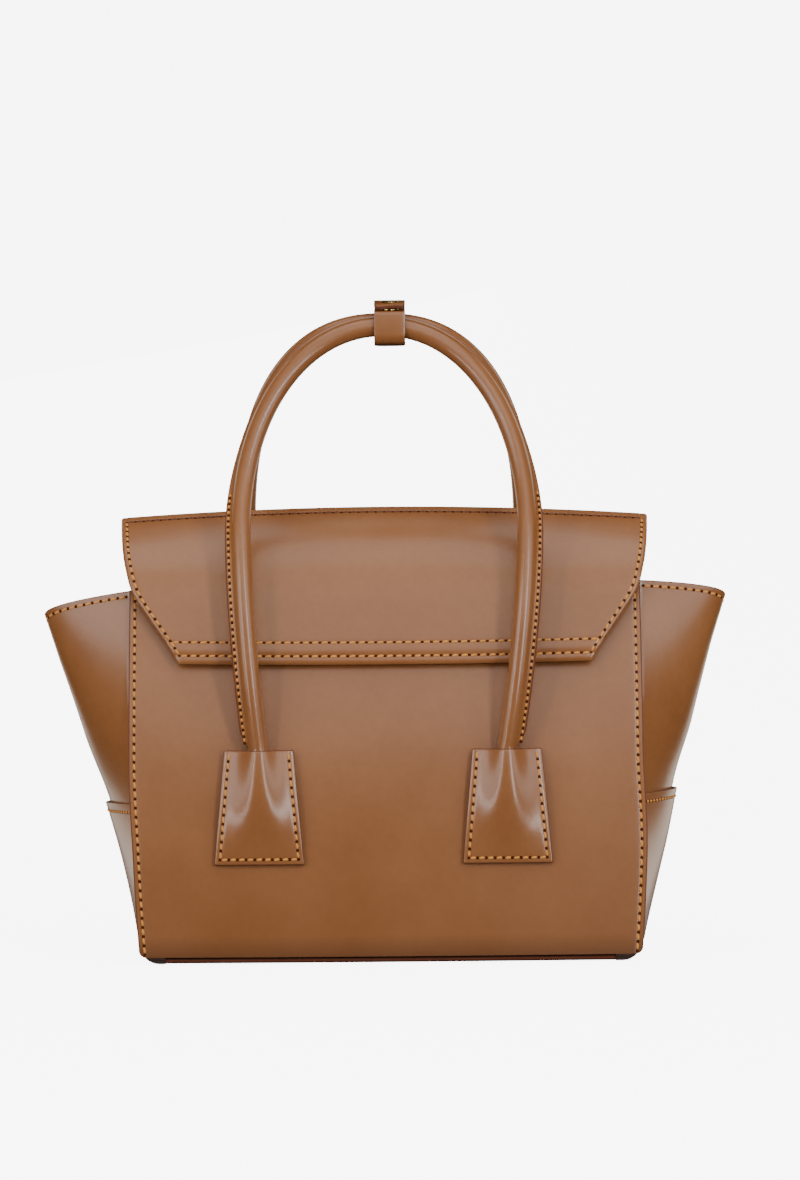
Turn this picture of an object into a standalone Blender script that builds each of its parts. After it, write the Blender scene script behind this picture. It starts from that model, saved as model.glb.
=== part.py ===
"""
A structured leather handbag with two rolled handles, a long front flap and folding side gussets.
It stands on its base at z = 0, with its front toward -Y and its length along X. Sizes in metres.
"""
import math

import bmesh
import bpy
from mathutils import Matrix, Vector

# Body
PANEL_WIDTH = 0.2502
PANEL_DRAW_IN = 0.0040
DRAW_IN_HEIGHT = 0.100
PANEL_CORNER = 0.0055
PANEL_FOOT = 0.0033
PANEL_ROW_HEIGHT = 0.0195
BASE_DEPTH = 0.095
SIDE_SWELL = 0.002
FRONT_BULGE = 0.003
MOUTH_HEIGHT = 0.183
MOUTH_DEPTH = 0.048
RIDGE_RISE = 0.039
BACK_RIDGE_OFFSET = 0.0078
DEPTH_power = 2.2
RIDGE_power = 1.15

# Leather and fits
LEATHER = 0.0018
FIT_GAP = 0.0003
LINING = 0.0008
STIFFENER = 0.0015

# Gussets and base
WING_REACH = 0.0444
WING_DROP = 0.010
WING_ROOT_share = 0.06
WING_power = 1.35
CREASE_ROUND_share = 0.15
GUSSET_SETBACK = 0.0006
GUSSET_CORNER = 0.0095
GUSSET_TOE = 0.003
FLANGE = 0.008
SEAM_HEIGHT = 0.079
SEAM_LAP = 0.009
SEAM_EASE = 0.014
BOARD = 0.0025
BOARD_MARGIN = 0.001
BOARD_CORNER = 0.004

# Flap
FLAP_RIDGE_OFFSET = 0.0053
FLAP_DROP = 0.0385
FLAP_LOW_OFFSET = 0.0055
FLAP_HIGH_OFFSET = 0.0078
FLAP_RIDGE_HALF = 0.1308
FLAP_BOTTOM_HALF = 0.1005
FLAP_LEATHER = 0.0020
FLAP_LINING = 0.0014
FLAP_LINING_MARGIN = 0.0015
# Below the mouth: height up to the mouth, and widening
FLAP_LOWER_shares = ((0.0, 0.0), (0.28, 0.215), (0.60, 0.50), (0.925, 0.76))
# Above it: how far back to the ridge, how high, and widening
FLAP_UPPER_shares = (
    (0.129, 0.244, 0.872), (0.372, 0.538, 0.935), (0.695, 0.808, 0.975), (1.0, 1.0, 1.0),
)
FLAP_ROWS_count = 13
FLAP_COLUMNS_count = 10
MAGNET_RADIUS = 0.009
FLAP_MAGNET = 0.0012
PANEL_MAGNET = 0.0014
MAGNET_SPREAD = 0.090
MAGNET_RISE = 0.017
MAGNET_SIDES_count = 16

# Handles
HANDLE_RADIUS = 0.0047
HANDLE_BORE = 0.0035
CORE_RADIUS = 0.0029
HANDLE_FLANGE = 0.0032
HANDLE_FLANGE_THICKNESS = 0.0024
HANDLE_HALF_SPREAD = 0.0696
HANDLE_SHOULDER = 0.212
HANDLE_TOP = 0.3106
HANDLE_BACK_RISE = 0.0026
HANDLE_PAIR_GAP = 0.0010
HANDLE_DRAW_power = 1.6
FRONT_ARCH_power = 2.08
BACK_ARCH_power = 2.35
# Height, and how far the front and the back handle lean out there
HANDLE_LEAN_shares = (
    (0.00, 1.000, 1.000), (0.16, 1.072, 0.965), (0.33, 1.010, 0.880), (0.50, 0.765, 0.735),
    (0.64, 0.474, 0.560), (0.80, 0.205, 0.310), (0.92, 0.065, 0.120), (1.00, 0.000, 0.000),
)
LEG_STATIONS_count = 6
ARCH_STATIONS_count = 9
FRONT_FLANGE_TURN_DEG = 43
BACK_FLANGE_TURN_DEG = 52
FLANGE_TURN_START = 0.190
FLANGE_TURN_END = 0.260
RING_SIDES_count = 9
CORE_SIDES_count = 6
FLANGE_FADE = 0.010

# Handle tabs and the handle ends under them
TAB_TOP = 0.1035
TAB_BOTTOM = 0.048
TAB_TOP_WIDTH = 0.034
TAB_BOTTOM_WIDTH = 0.044
TAB_BULGE_END = 0.062
TAB_BULGE_SIDE = 0.0045
TAB_BULGE_power = 2.6
TAB_CENTRE = 0.0601
TAB_SHIFT = 0.0015
# Heights of a tab's rows; the handle's end starts at the third one
TAB_ROW_shares = (0.0, 0.25, 0.43, 0.62, 0.81, 1.0)
ROOT_SPREAD = 0.0012
ROOT_SIDES_count = 10

# Keeper round both handles
KEEPER_WIDTH = 0.0155
KEEPER_OFFSET = 0.0035
KEEPER_STRAP = 0.0016
KEEPER_CLEARANCE = 0.0030
KEEPER_SIDE_GAP = 0.0007
KEEPER_BACK_GAP = 0.0026
KEEPER_TOP_GAP = 0.0010
KEEPER_RISE = 0.0036
KEEPER_LAYER_GAP = 0.0020
KEEPER_TAB = 0.0018
KEEPER_CORNER = 0.005
KEEPER_CORNER_count = 3
SNAP_RADIUS = 0.0045
SNAP_POST = 0.0018
SNAP_CAP = 0.0008
SNAP_CAP_share = 0.8
SNAP_PLATE = 0.0005
SNAP_SIDES_count = 14
SNAP_OFFSET = 0.005

# Zip pocket on the back lining
ZIP_HEIGHT = 0.130
ZIP_LENGTH = 0.150
ZIP_FRAME_HEIGHT = 0.024
ZIP_WINDOW_HEIGHT = 0.009
ZIP_BORDER = 0.010
ZIP_FRAME = 0.0010
ZIP_STANDOFF = 0.0009
SLIDER_LENGTH = 0.009
SLIDER_HEIGHT = 0.007
SLIDER_THICKNESS = 0.0026
PULLER_WIDTH = 0.004
PULLER_LENGTH = 0.020
PULLER_THICKNESS = 0.0010

LAP = LEATHER + FIT_GAP
RIDGE_HEIGHT = MOUTH_HEIGHT + RIDGE_RISE
FLAP_BOTTOM = MOUTH_HEIGHT - FLAP_DROP
MAGNET_HEIGHT = FLAP_BOTTOM + MAGNET_RISE

COLOURS = {
    "leather": ((0.33, 0.14, 0.055), 0.38, 0.0),
    "edge": ((0.13, 0.045, 0.018), 0.45, 0.0),
    "suede": ((0.42, 0.25, 0.13), 0.90, 0.0),
    "cloth": ((0.30, 0.20, 0.12), 0.95, 0.0),
    "board": ((0.20, 0.15, 0.10), 0.90, 0.0),
    "cord": ((0.60, 0.52, 0.38), 0.90, 0.0),
    "brass": ((0.62, 0.43, 0.16), 0.28, 1.0),
    "steel": ((0.45, 0.45, 0.46), 0.35, 1.0),
}


def clear_scene():
    """Remove the objects of the open scene."""
    for thing in list(bpy.data.objects):
        bpy.data.objects.remove(thing, do_unlink=True)


def finish_material(name, finish):
    """One material for one sub-part."""
    colour, roughness, metallic = COLOURS[finish]
    material = bpy.data.materials.new(name + "_finish")
    material.use_nodes = True
    shader = material.node_tree.nodes["Principled BSDF"]
    shader.inputs["Base Color"].default_value = (*colour, 1)
    shader.inputs["Roughness"].default_value = roughness
    shader.inputs["Metallic"].default_value = metallic
    material.diffuse_color = (*colour, 1)
    return material


def place_mesh(name, bm, finish, parent=None, smooth_deg=40):
    """Put a finished bmesh in the scene as a named sub-part."""
    mesh = bpy.data.meshes.new(name)
    bm.to_mesh(mesh)
    bm.free()
    mesh.shade_smooth()
    mesh.set_sharp_from_angle(angle=math.radians(smooth_deg))
    mesh.materials.append(finish_material(name, finish))
    part = bpy.data.objects.new(name, mesh)
    bpy.context.collection.objects.link(part)
    if parent:
        mesh.transform(Matrix.Translation(-parent.location))
        part.parent = parent
    return part


def pivot_empty(name, place):
    """An empty on a joint's axis, which carries the pieces that move there."""
    empty = bpy.data.objects.new(name, None)
    empty.location = place
    bpy.context.collection.objects.link(empty)
    return empty


def sheet(name, columns, rows, place, thickness, finish, flip=False, parent=None):
    """A skin over a grid of columns and rows, with its thickness inward."""
    bm = bmesh.new()
    bmesh.ops.create_grid(bm, x_segments=len(columns) - 1, y_segments=len(rows) - 1, size=1)
    for vert in bm.verts:
        column = round((vert.co.x + 1) / 2 * (len(columns) - 1))
        row = round((vert.co.y + 1) / 2 * (len(rows) - 1))
        vert.co = place(columns[column], rows[row])
    if flip:
        bmesh.ops.reverse_faces(bm, faces=bm.faces)
    part = place_mesh(name, bm, finish, parent)
    shell = part.modifiers.new("Thickness", "SOLIDIFY")
    shell.thickness = thickness
    shell.offset = -1
    shell.use_even_offset = True
    return part


def even_shares(count, low=0.0, high=1.0):
    """Evenly spaced shares, both ends included."""
    return [low + (high - low) * step / (count - 1) for step in range(count)]


def blend_share(share):
    """A smooth step from 0 to 1."""
    share = min(max(share, 0.0), 1.0)
    return share * share * (3 - 2 * share)


def smooth_points(points, count):
    """Points read at even steps from a smooth curve through the given ones."""
    ends = [points[0]] + list(points) + [points[-1]]
    found = []
    for step in range(count):
        along = step / (count - 1) * (len(points) - 1)
        first = min(int(along), len(points) - 2)
        t = along - first
        a, b, c, d = ends[first:first + 4]
        found.append(tuple(
            0.5 * (2 * q + (r - p) * t + (2 * p - 5 * q + 4 * r - s) * t * t
                   + (3 * q - p - 3 * r + s) * t ** 3)
            for p, q, r, s in zip(a, b, c, d)
        ))
    return found


def panel_half(z):
    """Half the width of the front and back panels at a height."""
    low = max(0.0, 1 - z / DRAW_IN_HEIGHT)
    return PANEL_WIDTH / 2 - PANEL_DRAW_IN * low * low


def half_depth(x, z):
    """How far the panels' outer faces stand from the bag's middle."""
    share = min(max(z / MOUTH_HEIGHT, 0.0), 1.0)
    depth = BASE_DEPTH / 2 + SIDE_SWELL * math.sin(math.pi * share)
    depth -= (BASE_DEPTH - MOUTH_DEPTH) / 2 * share ** DEPTH_power
    across = min(abs(x) / panel_half(z), 1.0)
    depth += FRONT_BULGE * (1 - across * across) * (1 - share ** 3)
    if z > MOUTH_HEIGHT:
        rise = (z - MOUTH_HEIGHT) / (RIDGE_HEIGHT - MOUTH_HEIGHT)
        depth += (BACK_RIDGE_OFFSET - MOUTH_DEPTH / 2) * rise ** RIDGE_power
    return depth


def panel_edge(z):
    """Half the panel's outline, with its rounded lower corner."""
    rise = z - PANEL_FOOT
    if rise >= PANEL_CORNER:
        return panel_half(z)
    drop = PANEL_CORNER - rise
    return panel_half(z) - PANEL_CORNER + math.sqrt(PANEL_CORNER ** 2 - drop ** 2)


def panel_rows(top):
    """Heights of a panel's rows, close together in its rounded corner."""
    corner = [PANEL_FOOT + PANEL_CORNER * share for share in (0.0, 0.12, 0.40, 1.0)]
    start = PANEL_FOOT + PANEL_CORNER
    steps = math.ceil((top - start) / PANEL_ROW_HEIGHT)
    return corner + [start + (top - start) * share for share in even_shares(steps + 1)[1:]]


def build_panel(name, side, top):
    """The front (side -1) or back (side 1) leather panel."""
    def place(across, z):
        x = across * panel_edge(z)
        return Vector((x, side * half_depth(x, z), z))
    sheet(name, even_shares(9, -1.0), panel_rows(top), place, LEATHER, "leather", flip=side > 0)


def build_inner_layer(name, side, inset, thickness, low, high, finish):
    """A stiffener or lining behind a panel, inside the gusset's flanges and parallel to the panel."""
    margin = GUSSET_SETBACK + FLANGE + 2 * FIT_GAP
    panel_top = MOUTH_HEIGHT if side < 0 else RIDGE_HEIGHT - FIT_GAP

    def place(across, z):
        x = across * (panel_half(z) - margin)
        return Vector((x, side * (half_depth(x, z) - inset), z))
    between = [z for z in panel_rows(panel_top) if low + FLANGE / 2 < z < high - FLANGE / 2]
    rows = [low] + between + [high]
    sheet(name, even_shares(9, -1.0), rows, place, thickness, finish, flip=side > 0)


def wing_bulge(z):
    """How far the gusset's crease stands out past the panel's edge."""
    share = max(z, 0.0) / (MOUTH_HEIGHT - WING_DROP)
    return WING_REACH * (WING_ROOT_share + (1 - WING_ROOT_share) * share ** WING_power)


def crease_shape(across):
    """1 at the crease and 0 at the panels, with a rounded fold between."""
    rounded = math.sqrt(across * across + CREASE_ROUND_share ** 2) - CREASE_ROUND_share
    return 1 - rounded / (math.sqrt(1 + CREASE_ROUND_share ** 2) - CREASE_ROUND_share)


def base_end():
    """Where the flat base ends and the gussets' lower corners begin."""
    return panel_half(GUSSET_CORNER) - GUSSET_SETBACK - GUSSET_CORNER


def gusset_route(share):
    """The strip's route: a flat toe below 0, round the lower corner to 1, then up the side."""
    if share < 0:
        return base_end() + share * GUSSET_TOE, 0.0, 0.0, 1.0
    if share < 1:
        turn = math.radians(90) * (share - 1)
        x = base_end() + GUSSET_CORNER * math.cos(turn)
        z = GUSSET_CORNER + GUSSET_CORNER * math.sin(turn)
        return x, z, -math.cos(turn), -math.sin(turn)
    z = GUSSET_CORNER + (share - 1) * (MOUTH_HEIGHT - GUSSET_CORNER)
    return panel_half(z) - GUSSET_SETBACK, z, -1.0, 0.0


def gusset_share(z):
    """The route's share at a height on the side."""
    return 1 + (z - GUSSET_CORNER) / (MOUTH_HEIGHT - GUSSET_CORNER)


def gusset_point(side, across, share, inset):
    """A point of the gusset strip; across beyond 1 runs on along the hidden flange."""
    x, z, inward_x, inward_z = gusset_route(share)
    outer = half_depth(x, z) - LAP
    y = min(max(across, -1.0), 1.0) * (outer - inset)
    bulge = wing_bulge(z) * min(max(share, 0.0), 1.0)
    shift = inset * math.hypot(bulge, outer) / outer
    out = bulge * crease_shape(y / outer) - shift
    out -= max(abs(across) - 1, 0.0) * (FLANGE + out)
    return Vector((side * (x - inward_x * out), y, z - inward_z * out))


GUSSET_COLUMN_shares = (-2.0, -1.0, -0.72, -0.42, -0.2, -0.07, 0.07, 0.2, 0.42, 0.72, 1.0, 2.0)


def side_name(side):
    """Left is -X and right is +X, as the bag is seen from the front."""
    return "left" if side < 0 else "right"


def build_gusset_lower(side):
    """The lower gusset, which turns under the bag and laps over the upper one."""
    rows = [-1.0, 0.0, 0.34, 0.67, 1.0]
    rows += [1 + (gusset_share(SEAM_HEIGHT) - 1) * share for share in even_shares(6)[1:]]

    def place(across, share):
        return gusset_point(side, across, share, 0.0)
    sheet(side_name(side) + "_gusset_lower", GUSSET_COLUMN_shares, rows, place, LEATHER,
          "leather", flip=side < 0)


def build_gusset_upper(side):
    """The upper gusset, with the wing; its foot is tucked inside the lower gusset."""
    def place(across, row):
        low = SEAM_HEIGHT - SEAM_LAP
        top = MOUTH_HEIGHT - WING_DROP * (1 - min(abs(across), 1.0))
        z = low + (top - low) * row
        tuck = (LEATHER + FIT_GAP) * (1 - blend_share((z - SEAM_HEIGHT - FIT_GAP) / SEAM_EASE))
        return gusset_point(side, across, gusset_share(z), tuck)
    rows = [0.0, 0.09, 0.145, 0.21, 0.40, 0.60, 0.80, 1.0]
    sheet(side_name(side) + "_gusset_upper", GUSSET_COLUMN_shares, rows, place, LEATHER,
          "leather", flip=side < 0)


def build_side_lining(side):
    """The lining that follows the gusset inside."""
    inset = 2 * LAP + FIT_GAP
    low = GUSSET_CORNER + FLANGE
    columns = [-0.86, -0.45, -0.15, 0.15, 0.45, 0.86]

    def place(across, row):
        top = MOUTH_HEIGHT - WING_DROP - FLANGE / 2
        z = low + (top - low) * row
        return gusset_point(side, across, gusset_share(z), inset)
    sheet("lining_" + side_name(side), columns, even_shares(7), place, LINING, "suede",
          flip=side < 0)


def build_base():
    """The base panel with its upturned lips, the base board and the base lining."""
    def place(across, along):
        x = along * (base_end() - GUSSET_TOE - FIT_GAP)
        depth = half_depth(x, 0.0) - LAP
        rise = max(abs(across) - 1, 0.0) * FLANGE
        return Vector((x, min(max(across, -1.0), 1.0) * depth, rise))
    columns = (-2.0, -1.0, -0.5, 0.0, 0.5, 1.0, 2.0)
    sheet("base_panel", columns, even_shares(7, -1.0), place, LEATHER, "edge")
    width = 2 * (base_end() - BOARD_MARGIN)
    depth = 2 * (half_depth(base_end(), 0.0) - LAP - LEATHER - BOARD_MARGIN)
    low = LEATHER + FIT_GAP
    plate("base_board", width, depth, BOARD, low, "board")
    plate("lining_base", width, depth, LINING, low + BOARD + FIT_GAP, "suede")


def plate(name, width, depth, thickness, low, finish):
    """A flat plate with rounded corners, lying inside the base."""
    bm = bmesh.new()
    bmesh.ops.create_cube(bm, size=1)
    bmesh.ops.scale(bm, vec=(width, depth, thickness), verts=bm.verts)
    bmesh.ops.translate(bm, vec=(0, 0, low + thickness / 2), verts=bm.verts)
    upright = [edge for edge in bm.edges if abs(edge.verts[0].co.z - edge.verts[1].co.z) > thickness / 2]
    bmesh.ops.bevel(bm, geom=upright, offset=BOARD_CORNER, segments=2, profile=0.5,
                    affect="EDGES", material=-1)
    place_mesh(name, bm, finish)


def flap_profile():
    """Rows of the flap from the bottom edge to the ridge: depth, height and half width."""
    def outside(share):
        z = FLAP_BOTTOM + share * FLAP_DROP
        return -half_depth(0, z) - FLAP_LOW_OFFSET - share * (FLAP_HIGH_OFFSET - FLAP_LOW_OFFSET), z

    def half(widening):
        return FLAP_BOTTOM_HALF + widening * (FLAP_RIDGE_HALF - FLAP_BOTTOM_HALF)
    places = [(*outside(share), half(widening)) for share, widening in FLAP_LOWER_shares]
    bend = outside(1.0)[0]
    for back, rise, widening in FLAP_UPPER_shares:
        y = bend + back * (FLAP_RIDGE_OFFSET - bend)
        places.append((y, MOUTH_HEIGHT + rise * RIDGE_RISE, half(widening)))
    return smooth_points(places, FLAP_ROWS_count)


def flap_frame(z):
    """The flap's depth and inward normal where its outer face reaches a height."""
    rows = flap_profile()
    for (y0, z0, _), (y1, z1, _) in zip(rows, rows[1:]):
        if z0 <= z <= z1:
            share = (z - z0) / (z1 - z0)
            run = Vector((0, y1 - y0, z1 - z0)).normalized()
            return y0 + (y1 - y0) * share, Vector((0, run.z, -run.y))
    raise ValueError("height is off the flap")


def build_flap(parent):
    """The flap's leather and the lining under it."""
    rows = flap_profile()

    def outer(across, row):
        y, z, half = rows[row]
        return Vector((across * half, y, z))

    def inner(across, row):
        y, z, half = rows[row]
        before = rows[max(row - 1, 0)]
        after = rows[min(row + 1, len(rows) - 1)]
        run = Vector((0, after[0] - before[0], after[1] - before[1])).normalized()
        inward = Vector((0, run.z, -run.y)) * (FLAP_LEATHER + 2 * FIT_GAP)
        return Vector((across * (half - FLAP_LINING_MARGIN), y, z)) + inward
    columns = even_shares(FLAP_COLUMNS_count + 1, -1.0)
    sheet("flap", columns, range(len(rows)), outer, FLAP_LEATHER, "leather", parent=parent)
    sheet("flap_lining", columns[::2], range(1, len(rows) - 1), inner, FLAP_LINING, "suede",
          parent=parent)


def disc(name, radius, thickness, centre, normal, sides, finish, parent=None, top_share=1.0):
    """A round plate whose near face is at centre and which grows along normal."""
    bm = bmesh.new()
    turn = Vector(normal).to_track_quat("Z", "Y").to_matrix().to_4x4()
    middle = Vector(centre) + Vector(normal).normalized() * thickness / 2
    bmesh.ops.create_cone(bm, cap_ends=True, segments=sides, radius1=radius,
                          radius2=radius * top_share, depth=thickness,
                          matrix=Matrix.Translation(middle) @ turn)
    return place_mesh(name, bm, finish, parent)


def build_magnets(flap):
    """A hidden pair of magnets: two on the flap's lining, two behind the front panel."""
    y, inward = flap_frame(MAGNET_HEIGHT)
    skin = FLAP_LEATHER + 3 * FIT_GAP + FLAP_LINING
    for side in (-1, 1):
        x = side * MAGNET_SPREAD / 2
        outer = Vector((x, y, MAGNET_HEIGHT)) + inward * skin
        disc("flap_magnet_" + side_name(side), MAGNET_RADIUS, FLAP_MAGNET, outer, inward,
             MAGNET_SIDES_count, "steel", flap)
        slope = half_depth(x, MAGNET_HEIGHT + MAGNET_RADIUS) - half_depth(x, MAGNET_HEIGHT - MAGNET_RADIUS)
        lean = Vector((0, 1, slope / (2 * MAGNET_RADIUS)))
        depth = half_depth(x, MAGNET_HEIGHT) - LAP - FIT_GAP
        disc("panel_magnet_" + side_name(side), MAGNET_RADIUS, PANEL_MAGNET,
             Vector((x, -depth, MAGNET_HEIGHT)), lean, MAGNET_SIDES_count, "steel")


def foot_x(side):
    """Where a handle's foot and its tab stand along X."""
    return side * TAB_CENTRE - TAB_SHIFT


def tab_half(z):
    """Half the width of a handle tab at a height."""
    share = (z - TAB_BOTTOM) / (TAB_TOP - TAB_BOTTOM)
    return TAB_BOTTOM_WIDTH / 2 + share * (TAB_TOP_WIDTH - TAB_BOTTOM_WIDTH) / 2


def bulge_height(z):
    """How far a tab's middle stands off the panel over the handle's end."""
    return (2 * HANDLE_RADIUS + 2 * FIT_GAP) * blend_share((z - TAB_BULGE_END) / (TAB_TOP - TAB_BULGE_END))


def root_half_width(z):
    """Half the width of the handle's end under its tab, which spreads as it flattens."""
    return HANDLE_RADIUS + ROOT_SPREAD * (TAB_TOP - z) / (TAB_TOP - TAB_BULGE_END)


def build_tab(name, face, side):
    """A trapezoid tab, sewn down round three sides and open at the top for the handle."""
    def place(across, z):
        reach = root_half_width(z) + TAB_BULGE_SIDE
        x = across * reach if abs(across) < 1.5 else math.copysign(tab_half(z), across)
        bump = bulge_height(z) * (1 - min(abs(across), 1.0) ** TAB_BULGE_power)
        x += foot_x(side)
        return Vector((x, face * (half_depth(x, z) + 2 * FIT_GAP + LEATHER + bump), z))
    columns = (-2.0, -1.15, -1.0, -0.72, -0.38, 0.0, 0.38, 0.72, 1.0, 1.15, 2.0)
    rows = [TAB_BOTTOM + (TAB_TOP - TAB_BOTTOM) * share for share in TAB_ROW_shares]
    sheet(name, columns, rows, place, LEATHER, "leather", flip=face > 0)


def tube(name, stations, ring, finish, parent=None, hollow=None):
    """Rings joined along a route; a hollow tube has a second set of rings inside."""
    bm = bmesh.new()

    def add_rings(shape):
        return [[bm.verts.new(centre + out * a + across * b) for a, b in shape(index)]
                for index, (centre, out, across) in enumerate(stations)]

    def join(first, second, flip):
        count = len(first)
        for step in range(count):
            after = (step + 1) % count
            corners = [first[step], first[after], second[after], second[step]]
            bm.faces.new(corners[::-1] if flip else corners)
    outer = add_rings(ring)
    for first, second in zip(outer, outer[1:]):
        join(first, second, False)
    if hollow:
        inner = add_rings(hollow)
        for first, second in zip(inner, inner[1:]):
            join(first, second, True)
        join(inner[0], outer[0], False)
        join(outer[-1], inner[-1], False)
    else:
        bm.faces.new(outer[0][::-1])
        bm.faces.new(outer[-1])
    bmesh.ops.recalc_face_normals(bm, faces=bm.faces)
    return place_mesh(name, bm, finish, parent)


def handle_top(face):
    """Height of a handle's highest centre; the back handle stands a little above the front."""
    return HANDLE_TOP + (HANDLE_BACK_RISE if face > 0 else 0.0)


def handle_outline(face, side):
    """Spread and height of half a handle: a leg drawn in at its foot, then a rounded arch."""
    low = TAB_TOP + 2 * FIT_GAP
    points = []
    for share in even_shares(LEG_STATIONS_count)[:-1]:
        z = low + share * (HANDLE_SHOULDER - low)
        drawn = (HANDLE_HALF_SPREAD - abs(foot_x(side))) * (1 - share) ** HANDLE_DRAW_power
        points.append((side * (HANDLE_HALF_SPREAD - drawn), z))
    power = 2 / (FRONT_ARCH_power if face < 0 else BACK_ARCH_power)
    for share in even_shares(ARCH_STATIONS_count):
        turn = math.radians(90) * share
        x = HANDLE_HALF_SPREAD * max(math.cos(turn), 0.0) ** power
        z = HANDLE_SHOULDER + (handle_top(face) - HANDLE_SHOULDER) * math.sin(turn) ** power
        points.append((side * x, z))
    return points


def lean_at(face, share):
    """How far a handle leans out at a share of its height."""
    fine = smooth_points(HANDLE_LEAN_shares, 8 * len(HANDLE_LEAN_shares))
    for before, after in zip(fine, fine[1:]):
        if share <= after[0]:
            break
    part = (share - before[0]) / (after[0] - before[0])
    column = 1 if face < 0 else 2
    return before[column] + (after[column] - before[column]) * part


def handle_side(face, side):
    """Centres of half a handle, from its foot to its top."""
    foot = half_depth(foot_x(side), TAB_TOP) + 2 * FIT_GAP + HANDLE_RADIUS
    top = HANDLE_PAIR_GAP / 2 + HANDLE_RADIUS
    centres = []
    for x, z in handle_outline(face, side):
        lean = lean_at(face, (z - TAB_TOP) / (handle_top(face) - TAB_TOP))
        centres.append(Vector((x, face * (top + lean * (foot - top)), z)))
    return centres


def handle_route(face):
    """Centres of a whole handle from its left foot to its right foot."""
    return handle_side(face, -1) + handle_side(face, 1)[-2::-1]


def handle_stations(face):
    """Each ring's centre, its direction along the flange, and its cross direction."""
    route = handle_route(face)
    lean = math.radians(FRONT_FLANGE_TURN_DEG if face < 0 else BACK_FLANGE_TURN_DEG)
    stations = []
    for index, centre in enumerate(route):
        before = route[max(index - 1, 0)]
        after = route[min(index + 1, len(route) - 1)]
        run = (after - before).normalized()
        if index in (0, len(route) - 1):
            run = Vector((0, 0, 1 if index == 0 else -1))
        out = Vector((0, -1, 0)).cross(run).normalized()
        climb = (centre.z - FLANGE_TURN_START) / (FLANGE_TURN_END - FLANGE_TURN_START)
        turn = Matrix.Rotation(-lean * blend_share(climb), 3, run)
        stations.append((centre, turn @ out, turn @ run.cross(out)))
    return stations


def build_handle(label, face, parent):
    """A rolled handle: the sewn wrap with its flange, round a cord core."""
    stations = handle_stations(face)
    half = HANDLE_FLANGE_THICKNESS / 2
    root_angle = math.asin(half / HANDLE_RADIUS)
    around = [root_angle + (2 * math.pi - 2 * root_angle) * step / RING_SIDES_count
              for step in range(RING_SIDES_count + 1)]

    def flange(index):
        climb = min(stations[index][0].z - stations[0][0].z, FLANGE_FADE) / FLANGE_FADE
        return HANDLE_RADIUS + HANDLE_FLANGE * climb

    def wrap_ring(index):
        tip = max(flange(index), HANDLE_RADIUS * math.cos(root_angle) + FIT_GAP)
        body = [(HANDLE_RADIUS * math.cos(a), HANDLE_RADIUS * math.sin(a)) for a in around]
        return [(tip, half)] + body + [(tip, -half)]

    def bore_ring(index):
        angles = [root_angle / 3] + around + [-root_angle / 3]
        return [(HANDLE_BORE * math.cos(a), HANDLE_BORE * math.sin(a)) for a in angles]

    def core_ring(index):
        steps = range(CORE_SIDES_count)
        angles = [2 * math.pi * step / CORE_SIDES_count for step in steps]
        return [(CORE_RADIUS * math.cos(a), CORE_RADIUS * math.sin(a)) for a in angles]
    tube(label + "_handle_wrap", stations, wrap_ring, "leather", parent, hollow=bore_ring)
    tube(label + "_handle_core", stations, core_ring, "cord", parent)


def build_root(name, face, side):
    """The handle's flattened end, held between the panel and its tab."""
    stations = []
    heights = [TAB_BOTTOM + (TAB_TOP - TAB_BOTTOM) * share for share in TAB_ROW_shares[2:]]
    x = foot_x(side)

    def half_thick(z):
        return (bulge_height(z) - 2 * FIT_GAP) / 2
    for z in heights:
        y = face * (half_depth(x, z) + 2 * FIT_GAP + half_thick(z))
        stations.append((Vector((x, y, z)), Vector((1, 0, 0)), Vector((0, 1, 0))))

    def ring(index):
        z = heights[index]
        angles = [2 * math.pi * step / ROOT_SIDES_count for step in range(ROOT_SIDES_count)]
        return [(root_half_width(z) * math.cos(a), half_thick(z) * math.sin(a)) for a in angles]
    tube(name, stations, ring, "leather")


def keeper_box():
    """The keeper strap's outer limits: front, back, bottom, and top over the front handle."""
    reach = HANDLE_PAIR_GAP / 2 + 2 * HANDLE_RADIUS + KEEPER_STRAP
    low = HANDLE_TOP - HANDLE_RADIUS - KEEPER_CLEARANCE - KEEPER_STRAP
    high = HANDLE_TOP + HANDLE_RADIUS + KEEPER_TOP_GAP + KEEPER_STRAP
    return -reach - KEEPER_SIDE_GAP, reach + KEEPER_BACK_GAP, low, high


def keeper_route():
    """The strap's outer face: back over the top layer, down the front, under and up the back."""
    front, back, low, high = keeper_box()
    radii = (KEEPER_STRAP + FIT_GAP, KEEPER_CORNER, KEEPER_CORNER)
    corners = ((front, high, 90), (front, low, 180), (back, low, 270))
    points = [(back - 2 * KEEPER_STRAP - FIT_GAP, high)]
    for (y, z, start), radius in zip(corners, radii):
        middle_y = y + math.copysign(radius, -y)
        middle_z = z - radius if start == 90 else z + radius
        for step in range(KEEPER_CORNER_count + 1):
            angle = math.radians(start + 90 * step / KEEPER_CORNER_count)
            points.append((middle_y + radius * math.cos(angle), middle_z + radius * math.sin(angle)))
    points.append((back, high))
    return points


def keeper_slope(y, z):
    """A keeper height once its top slopes up to the back handle."""
    front, back, low, high = keeper_box()
    return z + KEEPER_RISE * (y - front) / (back - front) * min((z - low) / (high - low), 1.0)


def slope_mesh(part):
    """Give a finished keeper piece the slope of the keeper's top."""
    base = part.parent.location
    for vert in part.data.vertices:
        place = vert.co + base
        vert.co.z = keeper_slope(place.y, place.z) - base.z


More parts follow.
